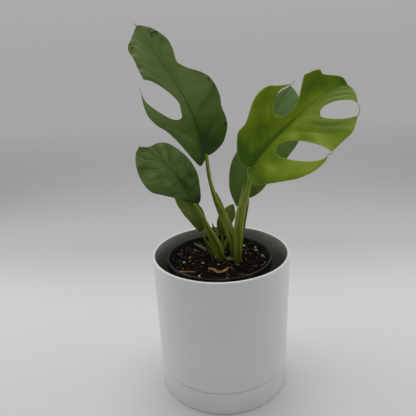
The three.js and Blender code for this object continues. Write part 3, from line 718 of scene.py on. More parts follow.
# %% [markdown]
# ## Soil
#
# Potting soil is a mix of peat crumbs, chips of bark and white perlite. Its surface is a height
# field over a disc: a gentle mound, two slow waves and lumps of several sizes. Thousands of
# loose crumbs lie on it. Each is a small dented icosahedron of only 20 faces, and all crumbs of
# a kind are one mesh, worked out in one go. A number per crumb lets the finish vary from one to
# another.

# %% Soil surface
SOIL_Z = 128.0
SOIL_TOP_RADIUS = float(liner_radius(SOIL_Z + 0.3)) - LINER_WALL - 0.3
SCATTER_RADIUS = 48.0


def soil_height(x, y):
    """Gentle mound plus two slow waves, in millimetres above the soil's level."""
    mound = 1.6 * (0.5 - (np.hypot(x, y) / SCATTER_RADIUS) ** 2)
    wave = 0.5 * np.sin(0.31 * x + 0.4) * np.cos(0.27 * y)
    return mound + wave + 0.3 * np.sin(0.73 * x) * np.sin(0.61 * y + 1)


def soil_lumps(x, y):
    """The same with lumps from 9 mm down to 1 mm across."""
    lumps = 0.75 * noise(x + 300, y + 300, 9, 21, 2) + 0.55 * noise(x + 300, y + 300, 2.4, 25, 3)
    return soil_height(x, y) + lumps


def soil_body():
    """Rings from the middle of the top out to the wall, down it and back under the soil."""
    a = np.linspace(0, 2 * np.pi, 200, endpoint=False)
    ring = np.linspace(0, 1, 91)[:, None] ** 0.8
    x, y = SOIL_TOP_RADIUS * ring * np.cos(a), SOIL_TOP_RADIUS * ring * np.sin(a)
    top = np.stack([x, y, SOIL_Z + soil_lumps(x, y)], -1)
    z = np.array([124, 110, 80, 50, LINER_BASE_Z + LINER_WALL + 0.4])[:, None]
    r = liner_radius(z) - LINER_WALL - 0.3
    r[-1] -= 1.5
    side = np.stack(np.broadcast_arrays(r * np.cos(a), r * np.sin(a), z), -1)
    under = np.stack([0 * a, 0 * a, 0 * a + z[-1]], -1)[None]
    points = np.concatenate([top, side, under]).reshape(-1, 3) + [LINER_X, 0, 0]
    return closed_shell("potting_soil_bed", points, grid_quads(97, 200, wrap_columns=True))


# %% One icosahedron, finer if asked
def icosphere(levels):
    """Unit icosahedron whose faces are split in four and pushed out to radius 1."""
    g = (1 + 5**0.5) / 2
    corners = [(-1, g, 0), (1, g, 0), (-1, -g, 0), (1, -g, 0), (0, -1, g), (0, 1, g),
               (0, -1, -g), (0, 1, -g), (g, 0, -1), (g, 0, 1), (-g, 0, -1), (-g, 0, 1)]
    faces = [(0, 11, 5), (0, 5, 1), (0, 1, 7), (0, 7, 10), (0, 10, 11), (1, 5, 9), (5, 11, 4),
             (11, 10, 2), (10, 7, 6), (7, 1, 8), (3, 9, 4), (3, 4, 2), (3, 2, 6), (3, 6, 8),
             (3, 8, 9), (4, 9, 5), (2, 4, 11), (6, 2, 10), (8, 6, 7), (9, 8, 1)]
    points, faces = np.array(corners, float), np.array(faces)
    for _ in range(levels):
        a, b, c = (points[faces[:, k]] for k in range(3))
        new = np.stack([a, b, c, (a + b) / 2, (b + c) / 2, (c + a) / 2], 1).reshape(-1, 3)
        quarters = np.array([[0, 3, 5], [3, 1, 4], [5, 4, 2], [3, 4, 5]])
        faces = (np.arange(len(a))[:, None, None] * 6 + quarters).reshape(-1, 3)
        _, first, place = np.unique(new.round(6), axis=0, return_index=True, return_inverse=True)
        points, faces = new[first], place.reshape(-1)[faces]
    return points / np.linalg.norm(points, axis=1, keepdims=True), faces


# %% Many grains as one mesh
def turns(random, count):
    """Random rotation matrices, one per grain, from unit quaternions."""
    q = random.normal(size=(count, 4))
    w, x, y, z = (q / np.linalg.norm(q, axis=1, keepdims=True)).T
    rows = [[1 - 2 * (y * y + z * z), 2 * (x * y - z * w), 2 * (x * z + y * w)],
            [2 * (x * y + z * w), 1 - 2 * (x * x + z * z), 2 * (y * z - x * w)],
            [2 * (x * z - y * w), 2 * (y * z + x * w), 1 - 2 * (x * x + y * y)]]
    return np.moveaxis(np.array(rows), -1, 0)


GRAIN_DENT = 0.25


def grains(name, centres, sizes, stretch, seed):
    """Each grain: an icosahedron, dented at random, stretched, turned, scaled and placed."""
    random = np.random.default_rng(seed)
    unit, faces = icosphere(0)
    dents = 1 + GRAIN_DENT * random.uniform(-1, 1, (len(centres), len(unit), 1))
    local = unit * dents * stretch[:, None, :]
    points = np.einsum("gij,gpj->gpi", turns(random, len(centres)), local)
    points = points * sizes[:, None, None] + centres[:, None, :]
    numbers = faces + np.arange(len(centres))[:, None, None] * len(unit)
    tone = np.repeat(random.uniform(0, 1, len(centres)), len(unit))
    none = np.zeros((0, 4), int)
    return add_mesh(name, points.reshape(-1, 3), none, numbers.reshape(-1, 3),
                    {"tone": tone}, smooth=False)


def scatter(random, count):
    """Places spread evenly over the soil disc, a little away from the pot's wall."""
    a = random.uniform(0, 2 * np.pi, count)
    r = (SOIL_TOP_RADIUS - 1.2) * np.sqrt(random.uniform(0, 1, count))
    return r * np.cos(a), r * np.sin(a)


# %% [markdown]
# Moist peat is nearly black, with a brown cast where crumbs have dried. Bark chips are reddish
# brown. Perlite is volcanic glass, cream white here from the soil that clings to it. All three
# finishes are dull, and take their tone from noise and from the number that each crumb carries.


# %% Soil finishes
def earthy(name, stops, scale, relief):
    """A dull finish whose colour runs through stops with noise and the grain's own tone."""
    finish = Finish(name, Specular_IOR_Level=0.15)
    where = place(finish)
    share = grain(finish, where, scale, 5, 0.62) * 0.6 + attribute(finish, "tone") * 0.4
    fine = grain(finish, where, scale * 3, 4, 0.6)
    return finish.feed(
        Base_Color=ramp(finish, share, stops), Roughness=fine * 0.15 + 0.8,
        Normal=bump(finish, fine, relief),
    ).material


PEAT = earthy("moist_peat", [(0.22, srgb(4, 3, 2)), (0.52, srgb(14, 10, 7)),
                             (0.75, srgb(42, 30, 22))], 420, 0.35)
BARK = earthy("bark_chips", [(0.2, srgb(34, 18, 12)), (0.5, srgb(72, 42, 29)),
                             (0.8, srgb(112, 76, 52))], 500, 0.3)
PERLITE = earthy("perlite", [(0.2, srgb(92, 80, 50)), (0.5, srgb(168, 154, 112)),
                             (0.8, srgb(222, 212, 178))], 600, 0.25)
belongs(soil_body(), "soil", PEAT, "potting_soil")


# %% Loose crumbs, small chips and small perlite
def loose(name, count, smallest, largest, stretch, seed, lift):
    """Grains on the soil surface. Sizes follow a power law, so that small ones are common."""
    random = np.random.default_rng(seed)
    x, y = scatter(random, count)
    size = smallest * (largest / smallest) ** (random.uniform(0, 1, count) ** 2)
    z = SOIL_Z + soil_lumps(x, y) + size * lift
    centres = np.stack([x + LINER_X, y, z], 1)
    return grains(name, centres, size, np.array(stretch) * random.uniform(0.8, 1.2, (count, 3)),
                  seed + 1)


belongs(loose("soil_crumbs", 3400, 0.35, 1.5, (1, 0.85, 0.8), 31, 0.25), "soil", PEAT)
belongs(loose("bark_crumbs", 420, 0.5, 1.7, (1.3, 0.8, 0.35), 41, 0.3), "bark", BARK)
belongs(loose("perlite_crumbs", 320, 0.3, 0.85, (1, 0.9, 0.8), 51, 0.5), "perlite", PERLITE)

# %% [markdown]
# The largest grains each stand for a grain of the CAD model and keep its place and size. They
# are finer: the icosahedron is split three times, dented by noise, and fitted into the box of
# its CAD grain. Perlite is knobbly, so its dents are round. Bark breaks in layers, so there the
# noise is squeezed in one direction and the dents are flat.

# %% Large grains
PERLITE_COUNT, BARK_COUNT = 12, 7


def large_grain(name, node, shape, dent, grain_size, seed):
    """A dented sphere fitted into the box that its CAD node has."""
    unit, faces = icosphere(3)
    u = unit * shape
    depth = noise(u[:, 0] + 9, u[:, 1] + u[:, 2] * 0.7 + 9, grain_size, seed, 3)
    depth += noise(u[:, 1] + 5, u[:, 2] - u[:, 0] * 0.7 + 5, grain_size, seed + 7, 3)
    points = unit * (1 + dent * depth[:, None])
    low, high = box_mm(node)
    span = points.max(axis=0) - points.min(axis=0)
    points = (points - points.min(axis=0)) / span * (high - low) + low
    none = np.zeros((0, 4), int)
    return add_mesh(name, points, none, faces, {"tone": np.full(len(points), 0.5)})


for number in range(1, PERLITE_COUNT + 1):
    node = f"perlite_{number}"
    piece = large_grain(f"perlite_grain_{number}", node, (1, 1, 1), 0.16, 0.7, 60 + number)
    belongs(piece, "perlite", PERLITE, node)
for number in range(1, BARK_COUNT + 1):
    node = f"bark_chip_{number}"
    piece = large_grain(f"bark_piece_{number}", node, (1, 2.5, 1), 0.2, 0.9, 80 + number)
    belongs(piece, "bark", BARK, node)

# %% [markdown]
# ## Stalks
#
# A leaf stalk of this plant is a fleshy, slightly flattened rod. Its lower half is wider, since
# the edges of an old sheath run along it, and fine ribs and pale stripes follow its length. It
# is an oval carried along a smooth path. At each station the oval has a half width, across the
# view from the front, and a half depth. Ribs are a cosine of the angle round the oval.

# %% Sweep an oval along a path
CAP_STEPS = np.sin(np.linspace(0, np.pi / 2, 9))[1:-1]


def along_path(stations, steps, cap=0.9, overrun=0.0):
    """Centres, half sizes and axes at each step. Both ends close like half an ellipse."""
    stations = np.asarray(stations, float)
    whole = even_spline(stations[:, :3], [0, 1])[1]
    ends = (1 - CAP_STEPS) * cap / whole
    t = np.sort(np.concatenate([np.linspace(0, 1, steps + 1), ends, 1 - ends]))
    path = spline(stations, t)
    centre, half = path[:, :3], np.maximum(path[:, 3:], 0.15)
    tangent = np.gradient(centre, axis=0)
    tangent /= np.linalg.norm(tangent, axis=1, keepdims=True)
    across = np.cross(tangent, (0, -1, 0))
    across /= np.linalg.norm(across, axis=1, keepdims=True)
    depth = np.cross(across, tangent)
    near_end = np.minimum(t, 1 - t) * whole / cap
    half = half * np.sqrt(np.clip(1 - (1 - np.clip(near_end, 0, 1)) ** 2, 0, 1))[:, None]
    grow = overrun * smoothstep(0.9, 1, t)[:, None]
    return t, centre + tangent * grow + [0, 0, SOIL_Z], half, across, depth


def swept(stations, steps, sides, relief, overrun):
    """Points centre + w (1 + relief) cos a across + d (1 + relief) sin a depth."""
    t, centre, half, across, depth = along_path(stations, steps, overrun=overrun)
    a = np.linspace(0, 2 * np.pi, sides, endpoint=False)[None, :]
    t = t[:, None]
    size = 1 + (relief(a, t) if relief else 0 * a * t)
    wide = (half[:, :1] * np.cos(a) * size)[..., None] * across[:, None]
    deep = (half[:, 1:] * np.sin(a) * size)[..., None] * depth[:, None]
    points = centre[:, None] + wide + deep
    return points, a + 0 * t, t + 0 * a


def ring_shell(name, points, values):
    """A shell from rings of points, with numbers for each point."""
    quads = grid_quads(*points.shape[:2], wrap_columns=True)
    flat = {label: numbers.reshape(-1) for label, numbers in values.items()}
    return closed_shell(name, points.reshape(-1, 3), quads, flat)


def rod(name, stations, steps, sides, relief=None, paint=None, overrun=0.0):
    """A swept oval as a mesh. paint gives named numbers from the angle and the way along."""
    points, a, t = swept(stations, steps, sides, relief, overrun)
    return ring_shell(name, points, paint(a, t) if paint else {})


def stripes(a, t, seed, fineness=4.0, length=3.0):
    """Noise from 0 to 1 that is fine round the stalk and long along it."""
    x = 20 + fineness * np.cos(a) + length * t
    y = 20 + fineness * np.sin(a) - 0.6 * length * t
    return np.clip(0.5 + 0.5 * noise(x, y, 1.0, seed, 3), 0, 1)


def band(a, middle, width):
    """1 at an angle in degrees, falling off smoothly over a width in degrees."""
    apart = np.degrees(np.arccos(np.clip(np.cos(a - np.radians(middle)), -1, 1)))
    return np.exp(-((apart / width) ** 2))


# %% Stalk tables: x, y, height above the soil, half width, half depth
STALKS = {
    "tall_leaf_stalk": [
        (13.4, -1.7, -1, 3.4, 2.6), (11.7, -2.5, 17, 3.9, 2.6), (7.6, -3.3, 33, 4.6, 2.4),
        (2.1, -4, 49, 3.9, 2.2), (-2.6, -3.5, 60, 2.6, 2), (-6.4, -3, 73.6, 1.8, 1.7),
        (-8.4, -2, 84.5, 1.7, 1.6), (-10, -0.2, 101, 1.6, 1.5)],
    "bright_leaf_stalk": [
        (15.3, -8.4, -1, 3.7, 3), (15.9, -10, 19.6, 3.8, 3), (16.8, -11.7, 35, 4.1, 2.7),
        (19.3, -12.8, 51, 3.8, 2.4), (23.2, -13.4, 65, 3, 2.2), (26.4, -14, 78, 2, 1.9),
        (27, -14, 91, 1.7, 1.7)],
    "back_leaf_stalk": [
        (17.4, 4.8, -4, 2.6, 2.4), (18.2, 5.6, 8, 2.7, 2.4), (20, 7, 19, 2.6, 2.2),
        (23, 9.4, 34, 2.1, 1.9), (26.2, 11.8, 49, 1.7, 1.6), (27, 13, 58, 1.5, 1.5)],
    "left_leaf_stalk": [
        (0.9, -1, -1, 3.6, 2.8), (-3.2, -2.2, 13, 4.4, 2.6), (-7.5, -3.4, 25, 4, 2.3),
        (-11.9, -5.4, 36, 2.4, 1.9), (-16, -8.4, 48, 1.8, 1.6), (-21.6, -11.4, 59.4, 1.5, 1.4)],
    "low_left_leaf_stalk": [
        (-6.7, 8, -1, 3, 2.4), (-10.8, 5.4, 10, 2, 1.7), (-14.4, 2.6, 18.5, 1.2, 1.1),
        (-17.8, 0.1, 26.8, 1, 1)],
    "small_back_leaf_stalk": [
        (3.4, 11.5, -8, 1.5, 1.4), (2.4, 12.5, 2, 1.4, 1.2), (1.6, 14, 9, 1.1, 1),
        (2, 15, 17, 0.9, 0.9)],
}
PALE_BANDS = {  # angle round the stalk in degrees (0 right, 90 front), width, strength
    "tall_leaf_stalk": [(62, 12, 0.7), (30, 10, 0.5), (150, 12, 0.35)],
    "bright_leaf_stalk": [(132, 12, 0.7), (100, 8, 0.3), (25, 12, 0.5)],
    "back_leaf_stalk": [(120, 16, 0.4)],
    "left_leaf_stalk": [(25, 18, 0.8), (125, 12, 0.3)],
    "low_left_leaf_stalk": [(40, 25, 0.5)],
    "small_back_leaf_stalk": [(90, 30, 0.3)],
}


# %% [markdown]
# The skin of a stalk is olive green. Where the sheath's edges dried it is pale, and towards the
# soil it browns. A waxy layer gives it a soft gloss. The stripes come from noise on the mesh
# points themselves, because only they know the direction of the stalk at each place.


# %% Stalk finish
def stalk_skin():
    """Olive green in streaks, with pale bands and a brown that both come from the mesh."""
    finish = Finish("stalk_skin", Specular_IOR_Level=0.25)
    where = place(finish)
    streak, pale, soiled = (attribute(finish, label) for label in ("streak", "pale", "soiled"))
    tone = streak * 0.75 + grain(finish, where, 260, 4) * 0.25
    stops = [(0.25, srgb(66, 86, 4)), (0.5, srgb(104, 124, 22)), (0.75, srgb(140, 158, 44))]
    lit = blend(finish, pale * 0.8, ramp(finish, tone, stops), srgb(184, 196, 104))
    base = blend(finish, soiled, lit, srgb(92, 78, 44))
    return finish.feed(
        Base_Color=base, Roughness=tone * 0.15 + 0.36 + soiled * 0.2,
        Normal=bump(finish, grain(finish, where, 900, 3) * 0.4 + streak * 0.6, 0.12),
    ).material


STALK_SKIN = stalk_skin()


def stalk_paint(name, seed, soil_end=0.16):
    """Numbers for the skin. soil_end is how far up the soil's brown reaches."""
    def paint(a, t):
        pale = sum(k * band(a, middle, width) for middle, width, k in PALE_BANDS.get(name, []))
        fade = smoothstep(0.02, 0.12, t) * (1 - 0.6 * smoothstep(0.75, 0.95, t))
        soiled = (1 - smoothstep(0.0, soil_end, t)) * 0.75
        return {"streak": stripes(a, t, seed), "pale": np.clip(pale * fade, 0, 1) + 0 * t,
                "soiled": soiled + 0 * a}
    return paint


RIBS = [(13, 0.018, 0), (29, 0.012, 1)]  # number round the oval, share of its width, phase


def stalk_relief(seed):
    """Fine ribs, and a channel in front between the two old edges of the sheath."""
    def relief(a, t):
        low = 1 - smoothstep(0.45, 0.75, t)
        ribs = sum(share * np.cos(count * a + phase) for count, share, phase in RIBS)
        wings = -0.10 * low * band(a, 90, 32) + 0.05 * low * (band(a, 48, 14) + band(a, 132, 14))
        return ribs * (0.5 + 0.5 * low) + wings + 0.03 * (stripes(a, t, seed, 1.2, 5) - 0.5)
    return relief


for seed, (name, stations) in enumerate(STALKS.items(), 100):
    piece = rod(name.replace("_stalk", "_stem"), stations, 150, 48, stalk_relief(seed),
                stalk_paint(name, seed), overrun=1.6)
    belongs(piece, "stalk", STALK_SKIN, name)

# %% [markdown]
# ## Crown, buds, shoots and sheaths
#
# The stalks rise from a short creeping stem, mostly buried, with rings where old leaves were.
# Root nubs swell from it. A bud scale and a young shoot are small closed spears. A sheath is
# what a leaf leaves behind after it unrolled: a thin flap, open on one side, with a dry pale
# edge. So its section is a crescent, an arc that comes back along itself a little deeper.

# %% Crown and root nubs
CROWN = [(-9, 11, -4, 2.5, 2.5), (-6, 8, -3.5, 5, 4.5), (0, 0, -3.5, 5.5, 5),
         (9, -3.5, -3.5, 6, 5), (18, -7, -3.5, 5.5, 5), (21, -8, -4, 2.5, 2.5)]
ROOT_NUBS = [(8, -6.2, -1.2, 2.6), (14.6, -12.4, -1, 2.2)]
NUB_SHAPE = [(0, -1, 0.7), (0, -0.3, 0.98), (0.1, 0.4, 0.92), (0.2, 1, 0.45)]


def crown_relief(a, t):
    """Rings of leaf scars along the stem, and uneven skin."""
    rings = 0.06 * np.cos(2 * np.pi * 9 * t + 0.6 * np.sin(a))
    return rings + 0.16 * (stripes(a, t, 140, 1.6, 9) - 0.5) - 0.04


def nub_paint(a, t):
    """Whitish tips, partly their own colour and partly a painted highlight, that brown towards the
    soil.
    """
    skin = stripes(a, t, 143, 2.5, 4)
    # The pale tops are partly the nubs' own colour and partly a painted highlight.
    return {"streak": skin, "pale": smoothstep(0.3, 0.75, t) * (0.7 + 0.3 * skin),
            "soiled": 0.5 * (1 - smoothstep(0.2, 0.6, t)) + 0 * a}


def crown_paint(a, t):
    """Mostly brown bark, in patches."""
    skin = stripes(a, t, 141, 2.5, 8)
    return {"streak": skin, "pale": 0.3 * skin, "soiled": np.clip(1.2 * skin, 0.45, 1)}


belongs(rod("crown_stem", CROWN, 90, 56, crown_relief, crown_paint), "stem_base", STALK_SKIN,
        "stem_crown")
for number, (x, y, z, r) in enumerate(ROOT_NUBS, 1):
    stations = [(x + lean, y, z + rise * r, wide * r, wide * r) for lean, rise, wide in NUB_SHAPE]
    piece = rod(f"root_bud_{number}", stations, 24, 32, crown_relief, nub_paint)
    belongs(piece, "stem_base", STALK_SKIN, f"root_nub_{number}")

# %% Bud scale, young shoot and sheaths
SHOOTS = {
    "bud_scale": [(-2.2, 8.2, -7, 2.2, 1.4), (-3, 8, 10, 2.6, 1.3), (-4.6, 8, 22, 1.9, 1.1),
                  (-7.2, 8, 34, 0.3, 0.3)],
    "young_shoot": [(3.2, 20, -7, 1.2, 1.2), (4, 20, 2, 1.6, 1.4), (5.4, 20, 8, 1.5, 1.3),
                    (6.6, 20, 12, 0.4, 0.4)],
}
SHEATHS = {
    "tall_leaf_sheath": [(8.6, -5, 26, 0.4, 0.5), (6.2, -5.3, 38, 2, 1.1),
                         (3.3, -5.2, 50, 2.2, 1), (0.4, -4.6, 60, 1.4, 0.8),
                         (-2.6, -4.2, 68, 0.3, 0.3)],
    "bright_leaf_sheath": [(14.6, -12.4, 26, 0.5, 0.5), (15.4, -13.9, 42, 2, 1),
                           (18, -14.2, 56, 1.9, 0.9), (20.6, -13.7, 68, 1.2, 0.7),
                           (22, -13, 77, 0.25, 0.25)],
}
SHEATH_THICKNESS = 0.45
ARC_POINTS, INNER_SHARE = 25, 0.9  # of the crescent: points on each arc, inner width over outer


def shoot_relief(a, t):
    """Nine soft ribs, and a ridge in front that grows towards the tip."""
    return 0.03 * np.cos(9 * a) + 0.12 * band(a, 90, 18) * smoothstep(0.2, 0.8, t)


for seed, (name, stations) in enumerate(SHOOTS.items(), 150):
    piece = rod(name + "_spear", stations, 70, 36, shoot_relief, stalk_paint(name, seed, 0.3))
    belongs(piece, "stalk", STALK_SKIN, name)


def sheath(name, stations, seed):
    """Crescent section: out along an arc of half an oval, back along one a little less deep."""
    t, centre, half, across, depth = along_path(stations, 90, cap=2.0)
    a = np.linspace(0, np.pi, ARC_POINTS)
    a = np.concatenate([a, a[-2:0:-1]])[None, :]
    inner = (np.arange(a.size) >= ARC_POINTS)[None, :]
    wide = half[:, :1] * np.cos(a) * np.where(inner, INNER_SHARE, 1.0)
    deep = half[:, 1:] * np.sin(a) - np.where(inner, SHEATH_THICKNESS, 0) - 0.2 * half[:, 1:]
    points = centre[:, None] + wide[..., None] * across[:, None] + deep[..., None] * depth[:, None]
    t, a = t[:, None] + 0 * a, a + 0 * t[:, None]
    edge = np.abs(np.cos(a)) ** 6
    values = {"streak": stripes(a, t, seed, 3, 3), "pale": np.clip(0.25 + 0.75 * edge, 0, 1),
              "soiled": 0.25 * smoothstep(0.8, 1, t)}
    return ring_shell(name, points, values)


for seed, (name, stations) in enumerate(SHEATHS.items(), 160):
    belongs(sheath(name + "_flap", stations, seed), "stalk", STALK_SKIN, name)

# %% [markdown]
# ## Dry strips on the soil
#
# A dry sheath, a root fibre and a scrap of an old leaf lie on the soil. Each is an oval carried
# along a path of places on the surface, at a small height above it. Dry plant matter is dull,
# golden to straw coloured, with fibres that run along it.

# %% Strips: x, y, height above the soil, half width, half thickness
STRIPS = {
    "dry_sheath_strip": [(-12, -22, 0.6, 1.4, 0.7), (-7.6, -23.6, 1, 1.7, 0.7),
                         (-3, -29, 0.6, 1.5, 0.7), (2.4, -28, 1, 1.5, 0.7),
                         (7, -20.5, 0.8, 0.9, 0.6)],
    "root_fibre": [(-42, -23, 0.6, 0.5, 0.5), (-35, -26.6, 1, 0.8, 0.7),
                   (-28, -26, 0.6, 0.7, 0.6), (-23, -28, 0.8, 0.5, 0.5)],
    "fallen_leaf_scrap": [(-28, 38, 1, 0.6, 0.5), (-24, 31, 1.8, 2, 0.6),
                          (-18, 22, 1.8, 2.2, 0.6), (-14, 15, 1, 0.8, 0.5)],
}
STRIP_STEPS, STRIP_SIDES = 70, 20


def dry_fibre():
    """Straw with darker fibres, or the dull green of a dead leaf."""
    finish = Finish("dry_fibre", Specular_IOR_Level=0.3)
    where = place(finish)
    tone = attribute(finish, "streak") * 0.6 + grain(finish, where, 500, 4) * 0.4
    stops = [(0.25, srgb(92, 62, 24)), (0.5, srgb(150, 110, 44)), (0.75, srgb(196, 162, 92))]
    straw = ramp(finish, tone, stops)
    green = blend(finish, tone, srgb(28, 36, 16), srgb(74, 84, 54))
    base = blend(finish, attribute(finish, "green"), straw, green)
    return finish.feed(Base_Color=base, Roughness=tone * 0.2 + 0.55,
                       Normal=bump(finish, tone, 0.3)).material


def strip(name, stations, seed):
    """An oval along a path that follows the soil. Its middle rises and falls like a curl."""
    stations = np.array(stations, float)
    stations[:, 2] += soil_height(stations[:, 0], stations[:, 1])
    t, centre, half, _, _ = along_path(stations, STRIP_STEPS, cap=1.0)
    side = np.cross(np.gradient(centre, axis=0), (0, 0, 1))
    side /= np.linalg.norm(side, axis=1, keepdims=True)
    t = t[:, None]
    a = np.linspace(0, 2 * np.pi, STRIP_SIDES, endpoint=False)[None, :] + 0 * t
    curl = 0.35 * np.sin(5 * t + seed) * np.cos(a) ** 2
    points = (centre[:, None] + (half[:, :1] * np.cos(a))[..., None] * side[:, None]
              + (half[:, 1:] * np.sin(a) + curl)[..., None] * np.array([0, 0, 1.0]))
    green = np.full(a.shape, float(name == "fallen_leaf_scrap"))
    return ring_shell(name + "_dry", points, {"streak": stripes(a, t + 0 * a, seed, 5, 2),
                                              "green": green})


DRY_FIBRE = dry_fibre()
for seed, (name, stations) in enumerate(STRIPS.items(), 170):
    belongs(strip(name, stations, seed), "dry_fibre", DRY_FIBRE, name)

# %% [markdown]
# ## Leaf blades
#
# A blade is a thin sheet with a midrib, two halves and deep splits between lobes. Each lobe has
# four borders: its piece of the midrib, its margin, and the edge of the split below and above.
# A Coons patch blends the four borders into a grid, whose lines then run as the side veins do.
# At a concave border such a patch folds over itself. Elliptic smoothing mends this: each inner
# point moves to a weighted mean of its neighbours, and cells end up side by side.

# %% Borders of a lobe
LOBE_CELLS, LOBE_SEAM, FINENESS, ROWS_PER_STEP = 12, 4, 4, 2


def split_edge(start, inner, points, cells, seam):
    """From the midrib straight to the split's inner end, then on its edge. Also the shares."""
    start = np.asarray(start, float)
    if inner is None:
        return np.tile(start, (cells + 1, 1)), np.linspace(0, 1, cells + 1)
    inner = np.asarray(inner, float)
    seam_length = np.linalg.norm(inner - start)
    t = np.linspace(0, 1, seam + 1)[:, None]
    s = np.linspace(0, 1, cells - seam + 1)[1:]
    edge, length = even_spline([inner, *points], s)
    whole = seam_length + length
    shares = np.concatenate([t[:, 0] * seam_length / whole, 1 - (1 - s) * length / whole])
    return np.concatenate([start * (1 - t) + inner * t, edge]), shares


def spread(grid, passes):
    """Elliptic smoothing: a g_pp - b g_pq + c g_qq = 0, with a, b, c from the cell's shape."""
    g = grid.copy()
    for _ in range(passes):
        out = (g[2:, 1:-1] - g[:-2, 1:-1]) / 2
        on = (g[1:-1, 2:] - g[1:-1, :-2]) / 2
        a = (on**2).sum(-1, keepdims=True)
        b = (out * on).sum(-1, keepdims=True)
        c = (out**2).sum(-1, keepdims=True)
        skew = g[2:, 2:] - g[:-2, 2:] - g[2:, :-2] + g[:-2, :-2]
        pull = a * (g[2:, 1:-1] + g[:-2, 1:-1]) + c * (g[1:-1, 2:] + g[1:-1, :-2])
        g[1:-1, 1:-1] = (pull - b * skew / 2) / (2 * (a + c) + 1e-9)
    return g


# %% Grid of a lobe
def coons(midrib, rows, first, last, margin, lower, upper, cells, seam):
    """Sum of the two blends of opposite borders, less the blend of the four corners."""
    q = np.linspace(0, 1, last - first + 1)[None, :, None]
    rib = spline(midrib, np.arange(first, last + 1) / rows)[None]
    rim = spline(margin, q[0, :, 0])[None]
    low, low_share = split_edge(rib[0, 0], *(lower or (None, None)), cells, seam)
    high, high_share = split_edge(rib[0, -1], *(upper or (None, None)), cells, seam)
    p = low_share[:, None, None] * (1 - q) + high_share[:, None, None] * q
    grid = (1 - p) * rib + p * rim + (1 - q) * low[:, None] + q * high[:, None]
    grid = grid - (1 - p) * (1 - q) * rib[:, :1] - (1 - p) * q * rib[:, -1:]
    return grid - p * (1 - q) * rim[:, :1] - p * q * rim[:, -1:]


def finer(grid, times, axis):
    """Straight interpolation between the grid's lines."""
    grid = np.moveaxis(grid, axis, 0)
    x = np.linspace(0, len(grid) - 1, (len(grid) - 1) * times + 1)
    i = np.minimum(x.astype(int), len(grid) - 2)
    w = (x - i).reshape(-1, *([1] * (grid.ndim - 1)))
    return np.moveaxis(grid[i] * (1 - w) + grid[i + 1] * w, 0, axis)


def lobe_grid(midrib, rows, first, last, margin, lower, upper):
    """A coarse patch, smoothed, is the first guess for a fine one, which is smoothed again."""
    borders = (margin, lower, upper)
    coarse = spread(coons(midrib, rows, first, last, *borders, LOBE_CELLS, LOBE_SEAM), 150)
    k = FINENESS
    fine = coons(midrib, rows * k, first * k, last * k, *borders, LOBE_CELLS * k, LOBE_SEAM * k)
    fine[1:-1, 1:-1] = finer(finer(coarse, k, 0), k, 1)[1:-1, 1:-1]
    return spread(fine, 40)


# %% [markdown]
# ## The blade tables
#
# Each blade is drawn flat, in its own plane: u to the right and v from the base to the tip. The
# table also says where the tip lies from the base, which way the upper side faces, how long the
# blade is, how far its halves fold up from the midrib, and how much it arches. The same numbers
# drive the CAD model, so the outline and the place are equal to it.

# %% Tall leaf and bright leaf
BLADES = {}
BLADES["tall_split_leaf"] = {
    "stalk": "tall_leaf_stalk", "rows": 30, "toward": (-57, 30, 111), "face": (0.15, -1, 0.45),
    "length": 128, "fold": 0.12, "arch": 0.03,
    "veins": 9, "vein": 0.25, "quilt": 0.1, "wave": 0.35,
    # ages: share of the way along and tone. On this leaf the lighter, greyer middle and top are
    # partly a painted sheen.
    "ages": [(0, 0.1), (0.12, 0.3), (0.3, 0.5), (0.45, 0.7), (0.65, 0.72), (0.85, 0.7),
        (1, 0.58)],
    "spots": [(7, 9, 10, 13, -0.3), (-6, 19, 9, 11, 0.16), (20, 58, 10, 14, 0.12),
        (-10, 109, 6, 9, 0.14), (14, 66, 3, 4, 0.14), (5, 24, 5, 16, -0.12)],
    "blisters": [(10.3, 116, 3.4, 2.1), (-13, 112, 1.8, 1.1), (30.8, 66, 1.2, 2.3),
        (33.2, 58, 1.1, 2.3), (34.8, 51, 1, 2), (33, 30, 1.1, 2.8), (28.3, 17, 1.4, 2.3)],
    "midrib": [(0, 0), (3, 18), (6, 40), (6, 59), (4, 81), (2, 103), (1, 118), (0, 129)],
    "right": ([
        [(0, 0), (4, -1), (11, 0), (20, 4), (28, 13), (31, 21), (32, 31), (35, 40), (36, 51),
         (34, 61), (29, 68), (22, 75), (17, 81), (16, 87), (18, 96), (18, 105), (15, 114),
         (10, 122), (4, 127), (0, 129)]], []),
    "left": ([
        [(0, 0), (-3, -3), (-9, -6), (-12, 1), (-15, 13), (-18, 24), (-22, 34), (-27, 42),
         (-30, 52), (-29, 63), (-25, 75)],
        [(-18, 83), (-18, 91), (-17, 102), (-17, 113), (-9, 121), (0, 129)]],
        [(10, (-2, 44), [(-4, 39), (-9, 39), (-14, 43), (-20, 52), (-25, 62), (-26, 68),
                         (-25, 75)],
          [(0, 52), (-3, 62), (-8, 72), (-13, 79), (-18, 83)])]),
}
